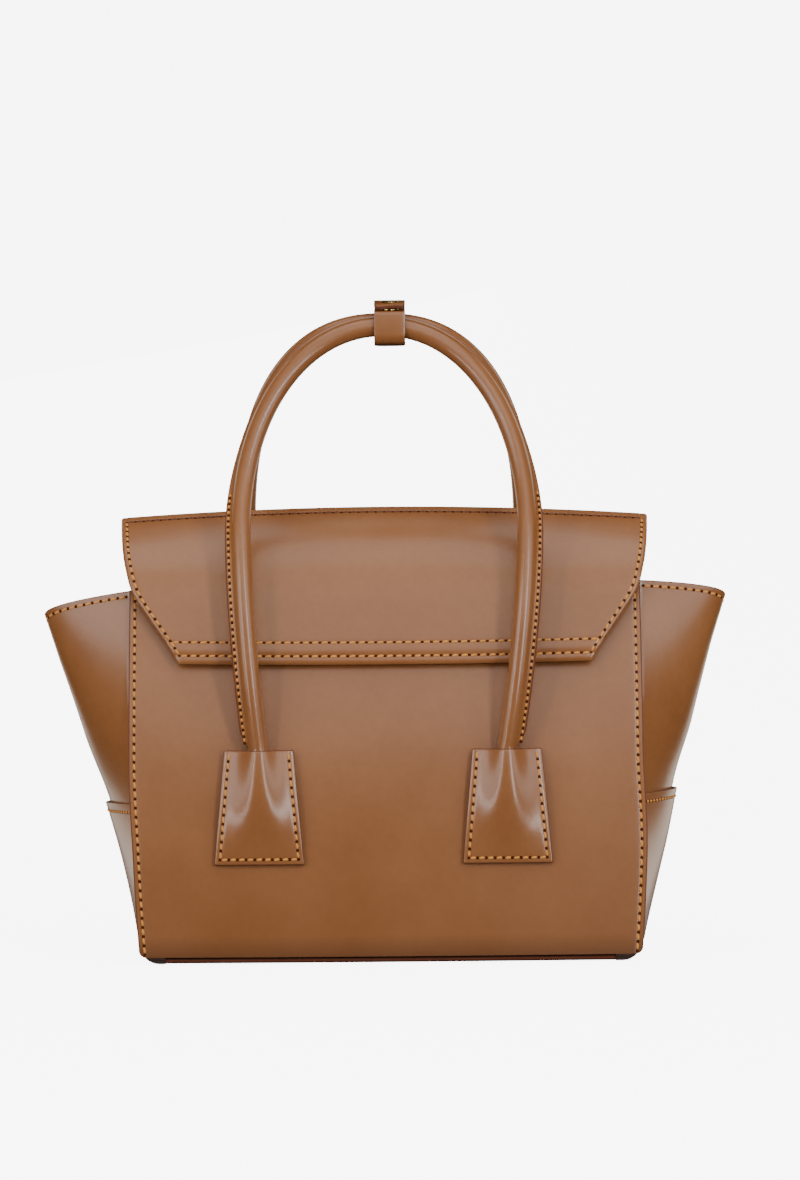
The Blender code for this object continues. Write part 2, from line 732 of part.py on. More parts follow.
def build_keeper(handle, tab_pivot):
    """The strap round both handles, its lifting tab and the brass snap between."""
    front, back, _, high = keeper_box()
    route = keeper_route()

    def place(across, step):
        y, z = route[step]
        return Vector((KEEPER_OFFSET + across * KEEPER_WIDTH / 2, y, keeper_slope(y, z)))
    sheet("keeper_strap", (-1.0, 0.0, 1.0), range(len(route)), place, KEEPER_STRAP, "leather",
          flip=True, parent=handle)
    low = high + KEEPER_LAYER_GAP
    bm = bmesh.new()
    bmesh.ops.create_cube(bm, size=1)
    bmesh.ops.scale(bm, vec=(KEEPER_WIDTH, back - front, KEEPER_TAB), verts=bm.verts)
    middle = (KEEPER_OFFSET, (front + back) / 2, low + KEEPER_TAB / 2)
    bmesh.ops.translate(bm, vec=middle, verts=bm.verts)
    nose = [edge for edge in bm.edges if all(v.co.y < 0 for v in edge.verts)
            and abs(edge.verts[0].co.z - edge.verts[1].co.z) > KEEPER_TAB / 2]
    bmesh.ops.bevel(bm, geom=nose, offset=KEEPER_STRAP, segments=3, profile=0.5,
                    affect="EDGES", material=-1)
    slope_mesh(place_mesh("keeper_tab", bm, "leather", tab_pivot))
    up = (0, 0, 1)

    def snap_place(z):
        return KEEPER_OFFSET, -SNAP_OFFSET, z
    stud = disc("keeper_snap_stud", SNAP_RADIUS, SNAP_PLATE, snap_place(high + FIT_GAP), up,
                SNAP_SIDES_count, "brass", handle)
    post = bmesh.new()
    post.from_mesh(stud.data)
    top = max(post.faces, key=lambda face: face.calc_center_median().z)
    bmesh.ops.inset_region(post, faces=[top], thickness=SNAP_RADIUS - SNAP_POST, use_even_offset=True)
    rise = KEEPER_LAYER_GAP - SNAP_PLATE - 3 * FIT_GAP
    raised = bmesh.ops.extrude_face_region(post, geom=[top])["geom"]
    bmesh.ops.translate(post, vec=(0, 0, rise), verts=[v for v in raised if isinstance(v, bmesh.types.BMVert)])
    bmesh.ops.delete(post, geom=[top], context="FACES")
    post.to_mesh(stud.data)
    post.free()
    slope_mesh(stud)
    ring_low = low - FIT_GAP - SNAP_PLATE
    slope_mesh(ring_part("keeper_snap_socket", SNAP_RADIUS - SNAP_PLATE, SNAP_POST + 2 * FIT_GAP,
                         SNAP_PLATE, snap_place(ring_low), "brass", tab_pivot))
    cap_low = low + KEEPER_TAB + FIT_GAP
    slope_mesh(disc("keeper_snap_cap", SNAP_RADIUS, SNAP_CAP, snap_place(cap_low), up,
                    SNAP_SIDES_count, "brass", tab_pivot, top_share=SNAP_CAP_share))


def ring_part(name, outer, inner, thickness, low, finish, parent):
    """A flat ring with its hole along Z."""
    bm = bmesh.new()
    for step in range(2):
        radius = inner if step else outer
        bmesh.ops.create_circle(bm, segments=SNAP_SIDES_count, radius=radius)
    bmesh.ops.bridge_loops(bm, edges=bm.edges)
    bmesh.ops.translate(bm, vec=low, verts=bm.verts)
    bmesh.ops.recalc_face_normals(bm, faces=bm.faces)
    raised = bmesh.ops.extrude_face_region(bm, geom=bm.faces[:], use_keep_orig=True)["geom"]
    bmesh.ops.translate(bm, vec=(0, 0, thickness), verts=[v for v in raised if isinstance(v, bmesh.types.BMVert)])
    bmesh.ops.recalc_face_normals(bm, faces=bm.faces)
    return place_mesh(name, bm, finish, parent)


def pocket_frame():
    """The inclined plane of the back lining's inner face at the zip."""
    inset = LAP + STIFFENER + FIT_GAP + LINING
    rise = half_depth(0, ZIP_HEIGHT + ZIP_FRAME_HEIGHT / 2) - half_depth(0, ZIP_HEIGHT - ZIP_FRAME_HEIGHT / 2)
    up = Vector((0, rise, ZIP_FRAME_HEIGHT)).normalized()
    inward = Vector((1, 0, 0)).cross(up)
    centre = Vector((0, half_depth(0, ZIP_HEIGHT) - inset, ZIP_HEIGHT)) + inward * (ZIP_STANDOFF + FIT_GAP)
    return centre, up, inward


def pocket_block(bm, size, middle):
    """A block in the pocket's own plane, given along X, up the lining and inward."""
    centre, up, inward = pocket_frame()
    turn = Matrix((Vector((1, 0, 0)), up, inward)).transposed().to_4x4()
    made = bmesh.ops.create_cube(bm, size=1)["verts"]
    bmesh.ops.scale(bm, vec=size, verts=made)
    bmesh.ops.translate(bm, vec=middle, verts=made)
    bmesh.ops.transform(bm, matrix=Matrix.Translation(centre) @ turn, verts=made)


def slider_place():
    """Where the puller's hinge sits on the slider, in the part's frame."""
    centre, up, inward = pocket_frame()
    return centre + inward * (ZIP_FRAME + FIT_GAP + SLIDER_THICKNESS + FIT_GAP + PULLER_THICKNESS / 2)


def build_zip(slider_empty, puller_empty):
    """The inside pocket's zip: frame, tape, slider and puller."""
    centre, up, inward = pocket_frame()
    turn = Matrix((Vector((1, 0, 0)), up, inward)).transposed().to_4x4()
    bm = bmesh.new()
    bmesh.ops.create_grid(bm, x_segments=1, y_segments=1, size=1)
    bmesh.ops.scale(bm, vec=(ZIP_LENGTH / 2, ZIP_WINDOW_HEIGHT / 2 + ZIP_BORDER, 1), verts=bm.verts)
    bmesh.ops.inset_individual(bm, faces=bm.faces[:], thickness=ZIP_BORDER, use_even_offset=True)
    window = min(bm.faces, key=lambda face: face.calc_center_median().length)
    bmesh.ops.delete(bm, geom=[window], context="FACES_ONLY")
    bmesh.ops.transform(bm, matrix=Matrix.Translation(centre) @ turn, verts=bm.verts)
    raised = bmesh.ops.extrude_face_region(bm, geom=bm.faces[:], use_keep_orig=True)["geom"]
    bmesh.ops.translate(bm, vec=inward * ZIP_FRAME, verts=[v for v in raised if isinstance(v, bmesh.types.BMVert)])
    bmesh.ops.recalc_face_normals(bm, faces=bm.faces)
    place_mesh("pocket_zip_frame", bm, "leather")
    bm = bmesh.new()
    tape = (ZIP_LENGTH - 2 * ZIP_BORDER - 2 * FIT_GAP, ZIP_WINDOW_HEIGHT - 2 * FIT_GAP, ZIP_FRAME)
    pocket_block(bm, tape, (0, 0, ZIP_FRAME / 2))
    place_mesh("pocket_zip_tape", bm, "brass")
    bm = bmesh.new()
    lift = ZIP_FRAME + FIT_GAP
    pocket_block(bm, (SLIDER_LENGTH, SLIDER_HEIGHT, SLIDER_THICKNESS), (0, 0, lift + SLIDER_THICKNESS / 2))
    place_mesh("pocket_zip_slider", bm, "brass", slider_empty)
    bm = bmesh.new()
    made = bmesh.ops.create_cube(bm, size=1)["verts"]
    bmesh.ops.scale(bm, vec=(PULLER_WIDTH, PULLER_THICKNESS, PULLER_LENGTH), verts=made)
    hang = slider_empty.location + puller_empty.location
    bmesh.ops.translate(bm, vec=hang - Vector((0, 0, PULLER_LENGTH / 2)), verts=made)
    part = place_mesh("pocket_zip_puller", bm, "brass")
    part.data.transform(Matrix.Translation(-hang))
    part.parent = puller_empty


def main():
    clear_scene()
    build_panel("front_panel", -1, MOUTH_HEIGHT)
    build_panel("back_panel", 1, RIDGE_HEIGHT - FIT_GAP)
    low = FLANGE + GUSSET_CORNER / 2
    stiffener_top = MAGNET_HEIGHT - MAGNET_RADIUS - FIT_GAP
    lining_inset = LAP + STIFFENER + FIT_GAP
    lining_back_top = MOUTH_HEIGHT + (RIDGE_HEIGHT - MOUTH_HEIGHT) / 2
    build_inner_layer("front_stiffener", -1, LAP, STIFFENER, low, stiffener_top, "board")
    build_inner_layer("back_stiffener", 1, LAP, STIFFENER, low, stiffener_top, "board")
    build_inner_layer("lining_front", -1, lining_inset, LINING, low, MOUTH_HEIGHT - FIT_GAP, "suede")
    build_inner_layer("lining_back", 1, lining_inset, LINING, low, lining_back_top, "suede")
    for side in (-1, 1):
        build_gusset_lower(side)
        build_gusset_upper(side)
        build_side_lining(side)
    build_base()
    flap_pivot = pivot_empty("flap_pivot", (0, FLAP_RIDGE_OFFSET, RIDGE_HEIGHT))
    build_flap(flap_pivot)
    build_magnets(flap_pivot)
    mouth = half_depth(TAB_CENTRE, TAB_TOP) + 2 * FIT_GAP + LEATHER + bulge_height(TAB_TOP)
    handles = {}
    for label, face in (("front", -1), ("back", 1)):
        handles[label] = pivot_empty(label + "_handle_pivot", (0, face * mouth, TAB_TOP))
        build_handle(label, face, handles[label])
        for side in (-1, 1):
            build_tab(label + "_tab_" + side_name(side), face, side)
            build_root(label + "_handle_end_" + side_name(side), face, side)
    _, back, _, high = keeper_box()
    hinge = keeper_slope(back, high) + KEEPER_LAYER_GAP
    tab_pivot = pivot_empty("keeper_tab_pivot", (0, back + FIT_GAP, hinge))
    build_keeper(handles["front"], tab_pivot)
    slider = pivot_empty("slider_start", pocket_frame()[0])
    puller = pivot_empty("puller_pivot", slider_place() - pocket_frame()[0])
    puller.parent = slider
    build_zip(slider, puller)


main()
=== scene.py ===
"""
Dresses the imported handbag: finer leather skins over the same shapes, sewn rows of thread,
rolled handles, brass fittings, a suede inside, and a plain studio with the camera.
It is laid out as an add-on: sizes and colours as properties, one operator for each piece
or group of like pieces, one for the studio, and a panel in the sidebar. Metres, +Z up.
"""
import math

import bmesh
import bpy
from mathutils import Matrix, Vector, noise


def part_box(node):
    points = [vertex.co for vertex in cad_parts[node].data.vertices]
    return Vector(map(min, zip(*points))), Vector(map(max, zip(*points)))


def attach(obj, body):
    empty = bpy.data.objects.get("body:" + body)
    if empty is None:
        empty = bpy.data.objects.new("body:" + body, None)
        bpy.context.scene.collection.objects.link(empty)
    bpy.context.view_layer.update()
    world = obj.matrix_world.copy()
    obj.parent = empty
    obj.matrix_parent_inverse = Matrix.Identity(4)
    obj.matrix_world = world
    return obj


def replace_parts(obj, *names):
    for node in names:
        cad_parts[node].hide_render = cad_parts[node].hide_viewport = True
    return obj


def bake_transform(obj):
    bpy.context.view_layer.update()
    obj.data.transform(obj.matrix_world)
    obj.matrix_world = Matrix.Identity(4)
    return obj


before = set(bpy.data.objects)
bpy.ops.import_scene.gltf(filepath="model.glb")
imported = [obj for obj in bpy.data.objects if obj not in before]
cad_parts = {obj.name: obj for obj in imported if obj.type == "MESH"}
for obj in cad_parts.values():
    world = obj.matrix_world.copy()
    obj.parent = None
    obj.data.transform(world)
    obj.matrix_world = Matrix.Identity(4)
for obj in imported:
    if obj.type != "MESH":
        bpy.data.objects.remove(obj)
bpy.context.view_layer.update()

bl_info = {
    "name": "Handbag Finish",
    "version": (1, 0, 0),
    "blender": (4, 5, 0),
    "location": "View3D > Sidebar > Handbag",
    "description": "Leather, thread, brass and a studio for a structured handbag",
    "category": "Object",
}


def corner(node, end):
    """A CAD node's lowest (0) or highest (1) corner."""
    return Vector(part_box(node)[end])


# The bag's own shape, as the frame has it
MOUTH_HEIGHT = corner("front_panel", 1).z
RIDGE_HEIGHT = corner("flap", 1).z
PANEL_WIDTH = 2 * corner("front_panel", 1).x
PANEL_FOOT = corner("front_panel", 0).z
PANEL_DRAW_IN = 0.0040
DRAW_IN_HEIGHT = 0.100
PANEL_CORNER = 0.0032
BASE_DEPTH = 0.095
SIDE_SWELL = 0.002
FRONT_BULGE = 0.003
MOUTH_DEPTH = 0.048
BACK_RIDGE_OFFSET = 0.0078
DEPTH_power = 2.2
RIDGE_power = 1.15
LEATHER = 0.0018
FIT_GAP = 0.0003
LAP = LEATHER + FIT_GAP
STIFFENER = 0.0015
LINING = 0.0008

# Gussets and base
WING_REACH = 0.0444
WING_DROP = 0.010
WING_BOW = 0.0008
WING_ROOT_share = 0.06
WING_power = 1.35
CREASE_ROUND_share = 0.62
GUSSET_SETBACK = 0.0006
GUSSET_CORNER = 0.0095
GUSSET_TOE = 0.003
FLANGE = 0.008
SEAM_HEIGHT = 0.079
SEAM_LAP = 0.009
SEAM_EASE = 0.034

# Flap
FLAP_RIDGE_OFFSET = 0.0053
FLAP_DROP = 0.0385
FLAP_LOW_OFFSET = 0.0055
FLAP_HIGH_OFFSET = 0.0078
FLAP_RIDGE_HALF = corner("flap", 1).x
FLAP_BOTTOM_HALF = 0.1005
FLAP_BOTTOM = MOUTH_HEIGHT - FLAP_DROP
FLAP_LOWER_shares = ((0.0, 0.0), (0.28, 0.215), (0.60, 0.50), (0.925, 0.76))
FLAP_UPPER_shares = (
    (0.129, 0.244, 0.872), (0.372, 0.538, 0.935), (0.695, 0.808, 0.975), (1.0, 1.0, 1.0),
)
FLAP_ROWS_count = 96
FLAP_SKIN = 0.0021
FLAP_BACKING = 0.0013
FLAP_LAYER_GAP = 0.00055
BACKING_MARGIN = 0.00025
BACKING_SHORT = 0.004
BAND_HEIGHT = 0.0108
BAND_ROW = 0.0040
BAND_PUFF = 0.00055
RIDGE_ROW = 0.0050
EDGE_ROLL = 0.0010

# Handles, tabs and keeper
HANDLE_RADIUS = 0.0047
HANDLE_FLANGE = 0.0032
HANDLE_FLANGE_THICKNESS = 0.0024
HANDLE_HALF_SPREAD = 0.0696
HANDLE_SHOULDER = 0.212
HANDLE_TOP = 0.3106
HANDLE_BACK_RISE = 0.0026
HANDLE_PAIR_GAP = 0.0010
HANDLE_DRAW_power = 1.6
FRONT_ARCH_power = 2.08
BACK_ARCH_power = 2.35
HANDLE_LEAN_shares = (
    (0.00, 1.000, 1.000), (0.16, 1.072, 0.965), (0.33, 1.010, 0.880), (0.50, 0.765, 0.735),
    (0.64, 0.474, 0.560), (0.80, 0.205, 0.310), (0.92, 0.065, 0.120), (1.00, 0.000, 0.000),
)
FRONT_FLANGE_TURN_DEG = 43
BACK_FLANGE_TURN_DEG = 52
FLANGE_TURN_START = 0.190
FLANGE_TURN_END = 0.260
FLANGE_SEWN_TOP = 0.228
FLANGE_SEWN_FOOT = 0.003
FLANGE_FOOT = 0.010
FLANGE_PINCH = 0.00022
FLANGE_ROW = 0.0017
FLANGE_ROW_SINK = 0.0002
TAB_TOP = corner("front_tab_left", 1).z
TAB_BOTTOM = corner("front_tab_left", 0).z
TAB_TOP_WIDTH = 0.034
TAB_BOTTOM_WIDTH = 0.044
TAB_BULGE_END = 0.062
TAB_BULGE_SIDE = 0.0045
TAB_FADE_END = 0.045
TAB_FADE_power = 0.78
TAB_BULGE_power = 2.5
TAB_WAIST = 0.84
TAB_BELL = 0.90
TAB_CENTRE = 0.0601
TAB_SHIFT = 0.0015
ROOT_SPREAD = 0.0012
ROOT_LOW_share = 0.43
FOLD_BELOW = 0.0075
FOLD_ABOVE = 0.0145
KEEPER_WIDTH = 0.0155
KEEPER_OFFSET = 0.0035
KEEPER_STRAP = 0.0016
KEEPER_CORNER = 0.005
KEEPER_CLEARANCE = 0.0024
KEEPER_SIDE_GAP = 0.0007
KEEPER_BACK_GAP = 0.0026
KEEPER_TOP_GAP = 0.0010
KEEPER_RISE = 0.0036
KEEPER_LAYER_GAP = 0.0020
KEEPER_CROWN = 0.03
KEEPER_START = 0.004
KEEPER_END = 0.001
TONGUE_DROOP = 0.0012
TONGUE_NOSE_share = 0.55
TONGUE_TAPER = 0.16
TONGUE_CURL = 0.0003
SNAP_POST = 0.0018
SNAP_HOLE = 0.0024
SNAP_FLAT = 0.0005
SNAP_CHAMFER = 0.0001

# How the real bag has settled: its right wing is drawn up, its left wing hangs, its foot leans
SETTLE_START = 0.090
SETTLE_SLOPE = 0.045
SETTLE_LOW = 0.020
SETTLE_RISE = 0.050
RIDGE_ARCH = 0.0046
LEFT_LEAN = 0.0011
RIGHT_LEAN = 0.0022
LEAN_START = 0.100
LEAN_DROP = 0.050
LEAN_NEAR = 0.085
LEAN_SPAN = 0.030
FLAP_BOW = 0.0010
SWAY = 0.0017
SWAY_HEIGHT = 0.150

# Linings and the inside pocket's zip
LINING_INSET = LAP + STIFFENER + 1.35 * FIT_GAP
SIDE_LINING_share = 0.86
ZIP_HEIGHT = 0.130
ZIP_LENGTH = 0.150
ZIP_FRAME_HEIGHT = 0.024
ZIP_WINDOW_HEIGHT = 0.009
ZIP_BORDER = 0.010
ZIP_FRAME = 0.0010
ZIP_STANDOFF = 0.0009
ZIP_TAPE_share = 0.4
TOOTH_PITCH = 0.0013
TOOTH_LENGTH = 0.0026
SLIDER_LENGTH = 0.009
SLIDER_HEIGHT = 0.007
SLIDER_THICKNESS = 0.0026
PULLER_WIDTH = 0.004
PULLER_LENGTH = 0.020
PULLER_THICKNESS = 0.0010
PULLER_BAR = 0.0010
PULLER_EYE = 0.0070

# Sewn rows and turned edges
SEAM_ROW = 0.0040
WING_ROW = 0.0030
GROOVE_DEPTH = 0.00016
GROOVE_WIDTH = 0.00080
TURNED_WIDTH = 0.0017
RIDGE_PITCH_share = 0.95
TAB_PITCH_share = 0.97
PANEL_ROW_FOOT_share = 0.45
GUSSET_ROW_share = 0.97
TAB_ROW_TOP = 0.0012
HOLE_DEPTH = 0.0003
THREAD_LIFT_share = 0.12
HOLE_OVERLAP_share = 0.80
SLANT_DEG = 9.0
FLANGE_SLANT_DEG = 6.0
RIDGE_SLANT_DEG = 3.0

# How closely a skin's columns and rows stand, nearer by its edges, and a sewn row's route is read
PANEL_STEP = 0.0030
FLAP_STEP = 0.0024
BACKING_STEP = 0.0035
TAB_STEP = 0.0013
PANEL_ROUTE_STEP = 0.006
SHORT_ROUTE_STEP = 0.004
ROUTE_READS_count = 24
EDGE_STEPS = (0.0, 0.0006, 0.0013, 0.0020, 0.0024, 0.0028, 0.0032, 0.0036, 0.0044, 0.0060, 0.0085,
              0.0120)
TAB_STEPS = (0.0, 0.0007, 0.0014, 0.0021, 0.0025, 0.0029, 0.0033, 0.0038, 0.0046)
TAB_STEPS_END = 0.0058
BAND_STEPS = (0.0, 0.0008, 0.0018, 0.0028, 0.0034, 0.0040, 0.0046, 0.0052, 0.0062, 0.0074, 0.0086,
              0.0096, 0.0102, 0.0108, 0.0114, 0.0120, 0.0135)
BAND_STEPS_END = 0.0155
RIDGE_STEPS_START = 0.0066
RIDGE_STEPS = (0.0058, 0.0052, 0.0046, 0.0038, 0.0028, 0.0016, 0.0008, 0.0)
CORNER_shares = (0.0, 0.02, 0.06, 0.12, 0.20, 0.30, 0.42, 0.56, 0.70, 0.85)
GUSSET_HALF_shares = (0.0, 0.02, 0.045, 0.075, 0.11, 0.15, 0.20, 0.26, 0.33, 0.41, 0.50, 0.60, 0.70,
                      0.80, 0.90, 0.96, 1.0, 1.5, 2.0)
SEAM_shares = (0.965, 0.975, 0.982, 0.988, 0.994, 1.0)
WING_TOP_shares = (0.965, 0.972, 0.980, 0.987, 0.993, 1.0)
BASE_LIP_shares = (1.05, 1.2, 1.6, 2.0)
KEEPER_COLUMNS = (-1.0, -0.96, -0.90, -0.80, -0.5, 0.0, 0.5, 0.80, 0.90, 0.96, 1.0)
LEG_STATIONS_count = 60
ARCH_STATIONS_count = 90
ROOT_STATIONS_count = 22
RING_SIDES_count = 26
TURNED_SIDES_count = 40

# Turns past which an edge looks sharp, on a skin and on a handle, or is rounded as a cut edge
SMOOTH_DEG = 38
HANDLE_SMOOTH_DEG = 60
CUT_EDGE_DEG = 50

# Finishes: what a piece's faces and its cut edges are made of, and the shade painted on them
LEATHER_FINISH = ("saddle_leather", "painted_edge")
LINING_FINISH = ("suede", "suede")
COAT = 0.30
# Painted contact shadow at the leather's foot, and painted shade fading up above it
FOOT_SHADE = 0.0034
FOOT_ROUGHNESS = 0.85
LEATHER_ROUGHNESS = 0.33
BRASS_ROUGHNESS = 0.24
STREAK_HEIGHT = 0.0016
# Height up to which painted shade darkens the leather towards the bottom of the bag
LOW_SHADE_HEIGHT = 0.085
CLOUD_WIDTH = 0.055
SPECK_WIDTH = 0.0035
# Colours of the painted shade inside the needle holes
NEEDLE_HOLE_SHADOWS = ((0.030, 0.008, 0.002), (0.062, 0.018, 0.005))
BOARD_SHADES = ((0.13, 0.09, 0.055), (0.27, 0.20, 0.13))
CORD_SHADES = ((0.38, 0.31, 0.21), (0.68, 0.60, 0.46))
NICKEL_SHADES = ((0.34, 0.34, 0.35), (0.60, 0.60, 0.61))

# Studio: each light's name, place, width, height, power and colour, all aimed at LIGHTS_AIM
LIGHTS_AIM = (0, 0, 0.14)
WHITE = (1.0, 1.0, 1.0)
WARM = (1.0, 0.88, 0.76)
LIGHTS = (
    ("right_strip", (1.00, -1.80, 0.60), 0.26, 2.0, 30, WHITE),
    ("left_strip", (-1.20, -1.70, 0.50), 0.22, 2.0, 20, (1.0, 0.96, 0.94)),
    ("right_softbox", (1.8, -1.15, 0.7), 0.8, 1.6, 11, WHITE),
    ("left_softbox", (-1.8, -1.25, 0.6), 0.8, 1.6, 13, WHITE),
    ("right_back_panel", (1.30, 1.75, 0.5), 1.0, 1.8, 11, WARM),
    ("left_back_panel", (-1.30, 1.75, 0.5), 1.0, 1.8, 10, WARM),
    ("front_softbox", (-0.05, -1.90, 1.10), 1.1, 0.9, 4.5, WHITE),
    ("upper_softbox", (0.15, -1.28, 1.66), 1.3, 0.86, 5.2, (1.0, 0.94, 0.87)),
    ("top_light", (0, -0.2, 1.9), 2.0, 1.4, 16, WHITE),
    ("back_fill", (-0.6, 2.2, 1.0), 1.6, 1.6, 16, WHITE),
)
ROOM_LIGHT = 0.55
PAPER_GLOW = 6.6
COVE_HALF_WIDTH = 6.0
COVE_FRONT = 2.6
COVE_BACK = 3.0
COVE_BEND = 1.6
COVE_TOP = 4.5
CAMERA_PLACE = (0.0075, -2.0, 0.1804)
CAMERA_LENS = 123.0
CAMERA_ROLL_DEG = 0.5


def blend_share(share):
    """A smooth step from 0 to 1."""
    share = min(max(share, 0.0), 1.0)
    return share * share * (3 - 2 * share)


def even_shares(count, low=0.0, high=1.0):
    """Evenly spaced shares, both ends included."""
    return [low + (high - low) * step / (count - 1) for step in range(count)]


def smooth_points(points, count):
    """Points read at even steps from a smooth curve through the given ones."""
    ends = [points[0]] + list(points) + [points[-1]]
    found = []
    for step in range(count):
        along = step / (count - 1) * (len(points) - 1)
        first = min(int(along), len(points) - 2)
        t = along - first
        a, b, c, d = ends[first:first + 4]
        found.append(tuple(
            0.5 * (2 * q + (r - p) * t + (2 * p - 5 * q + 4 * r - s) * t * t
                   + (3 * q - p - 3 * r + s) * t ** 3)
            for p, q, r, s in zip(a, b, c, d)
        ))
    return found


def settle(point, hang=1.0):
    """Where a point of the body stands once the bag has settled; the flap has no hang."""
    x, y, z = point
    climb = blend_share((z - MOUTH_HEIGHT) / (RIDGE_HEIGHT - MOUTH_HEIGHT))
    pull = max(abs(x) - SETTLE_START, 0.0) * SETTLE_SLOPE * hang * (1 - climb)
    pull *= blend_share((z - SETTLE_LOW) / SETTLE_RISE)
    arch = RIDGE_ARCH * (abs(x) / FLAP_RIDGE_HALF) ** 2 * climb
    lean = blend_share((LEAN_START - z) / LEAN_DROP) * blend_share((abs(x) - LEAN_NEAR) / LEAN_SPAN)
    lean *= LEFT_LEAN if x < 0 else RIGHT_LEAN
    return Vector((x + lean, y, z + math.copysign(pull, x) - arch))


def panel_half(z):
    """Half the width of the front and back panels at a height."""
    low = max(0.0, 1 - z / DRAW_IN_HEIGHT)
    return PANEL_WIDTH / 2 - PANEL_DRAW_IN * low * low


def half_depth(x, z):
    """How far the panels' outer faces stand from the bag's middle."""
    share = min(max(z / MOUTH_HEIGHT, 0.0), 1.0)
    depth = BASE_DEPTH / 2 + SIDE_SWELL * math.sin(math.pi * share)
    depth -= (BASE_DEPTH - MOUTH_DEPTH) / 2 * share ** DEPTH_power
    across = min(abs(x) / panel_half(z), 1.0)
    depth += FRONT_BULGE * (1 - across * across) * (1 - share ** 3)
    if z > MOUTH_HEIGHT:
        rise = (z - MOUTH_HEIGHT) / (RIDGE_HEIGHT - MOUTH_HEIGHT)
        depth += (BACK_RIDGE_OFFSET - MOUTH_DEPTH / 2) * rise ** RIDGE_power
    return depth


def panel_edge(z):
    """Half the panel's outline, with its rounded lower corner."""
    rise = z - PANEL_FOOT
    if rise >= PANEL_CORNER:
        return panel_half(z)
    drop = PANEL_CORNER - rise
    return panel_half(z) - PANEL_CORNER + math.sqrt(max(PANEL_CORNER ** 2 - drop ** 2, 0.0))


def wing_bulge(z):
    """How far the gusset's crease stands out past the panel's edge."""
    share = max(z, 0.0) / (MOUTH_HEIGHT - WING_DROP)
    return WING_REACH * (WING_ROOT_share + (1 - WING_ROOT_share) * share ** WING_power)


def crease_shape(across):
    """1 at the crease and 0 at the panels, with a rounded fold between."""
    rounded = math.sqrt(across * across + CREASE_ROUND_share ** 2) - CREASE_ROUND_share
    return 1 - rounded / (math.sqrt(1 + CREASE_ROUND_share ** 2) - CREASE_ROUND_share)


def base_end():
    """Where the flat base ends and the gussets' lower corners begin."""
    return panel_half(GUSSET_CORNER) - GUSSET_SETBACK - GUSSET_CORNER


def gusset_route(share):
    """The strip's route: a flat toe below 0, round the lower corner to 1, then up the side."""
    if share < 0:
        return base_end() + share * GUSSET_TOE, 0.0, 0.0, 1.0
    if share < 1:
        turn = math.radians(90) * (share - 1)
        x = base_end() + GUSSET_CORNER * math.cos(turn)
        z = GUSSET_CORNER + GUSSET_CORNER * math.sin(turn)
        return x, z, -math.cos(turn), -math.sin(turn)
    z = GUSSET_CORNER + (share - 1) * (MOUTH_HEIGHT - GUSSET_CORNER)
    return panel_half(z) - GUSSET_SETBACK, z, -1.0, 0.0


def gusset_share(z):
    """The route's share at a height on the side."""
    return 1 + (z - GUSSET_CORNER) / (MOUTH_HEIGHT - GUSSET_CORNER)


def gusset_point(side, across, share, inset):
    """A point of the gusset strip; across beyond 1 runs on along the hidden flange."""
    x, z, inward_x, inward_z = gusset_route(share)
    outer = half_depth(x, z) - LAP
    y = min(max(across, -1.0), 1.0) * (outer - inset)
    bulge = wing_bulge(z) * min(max(share, 0.0), 1.0)
    shift = inset * math.hypot(bulge, outer) / outer
    out = bulge * crease_shape(y / outer) - shift
    out -= max(abs(across) - 1, 0.0) * (FLANGE + out)
    sway = SWAY * crease_shape(min(abs(across), 1.0))
    sway *= math.sin(math.pi * min(max(z / SWAY_HEIGHT, 0.0), 1.0))
    return Vector((side * (x - inward_x * out) + sway, y, z - inward_z * out))


def side_name(side):
    """Left is -X and right is +X, as the bag is seen from the front."""
    return "left" if side < 0 else "right"


class BagSizes(bpy.types.PropertyGroup):
    """Sizes of the finish, in metres."""

    stitch_pitch: bpy.props.FloatProperty(
        name="Stitch pitch", description="From one needle hole to the next on the body",
        default=0.0045, min=0.002, max=0.010, unit="LENGTH", precision=4)
    fine_pitch: bpy.props.FloatProperty(
        name="Fine stitch pitch", description="From one needle hole to the next on the handles",
        default=0.0033, min=0.002, max=0.010, unit="LENGTH", precision=4)
    thread: bpy.props.FloatProperty(
        name="Thread", description="Thickness of the sewing thread",
        default=0.00130, min=0.0003, max=0.002, unit="LENGTH", precision=5)
    needle_hole: bpy.props.FloatProperty(
        name="Needle hole", description="Width of the hole that the needle leaves",
        default=0.00165, min=0.0003, max=0.002, unit="LENGTH", precision=5)
    row_inset: bpy.props.FloatProperty(
        name="Row inset", description="From a leather edge to the row sewn along it",
        default=0.0028, min=0.0015, max=0.008, unit="LENGTH", precision=4)
    edge_round: bpy.props.FloatProperty(
        name="Edge rounding", description="Radius of the painted leather edges",
        default=0.0005, min=0.0001, max=0.0008, unit="LENGTH", precision=5)
    grain: bpy.props.FloatProperty(
        name="Grain", description="Width of one pebble of the leather's grain",
        default=0.0007, min=0.0002, max=0.003, unit="LENGTH", precision=5)


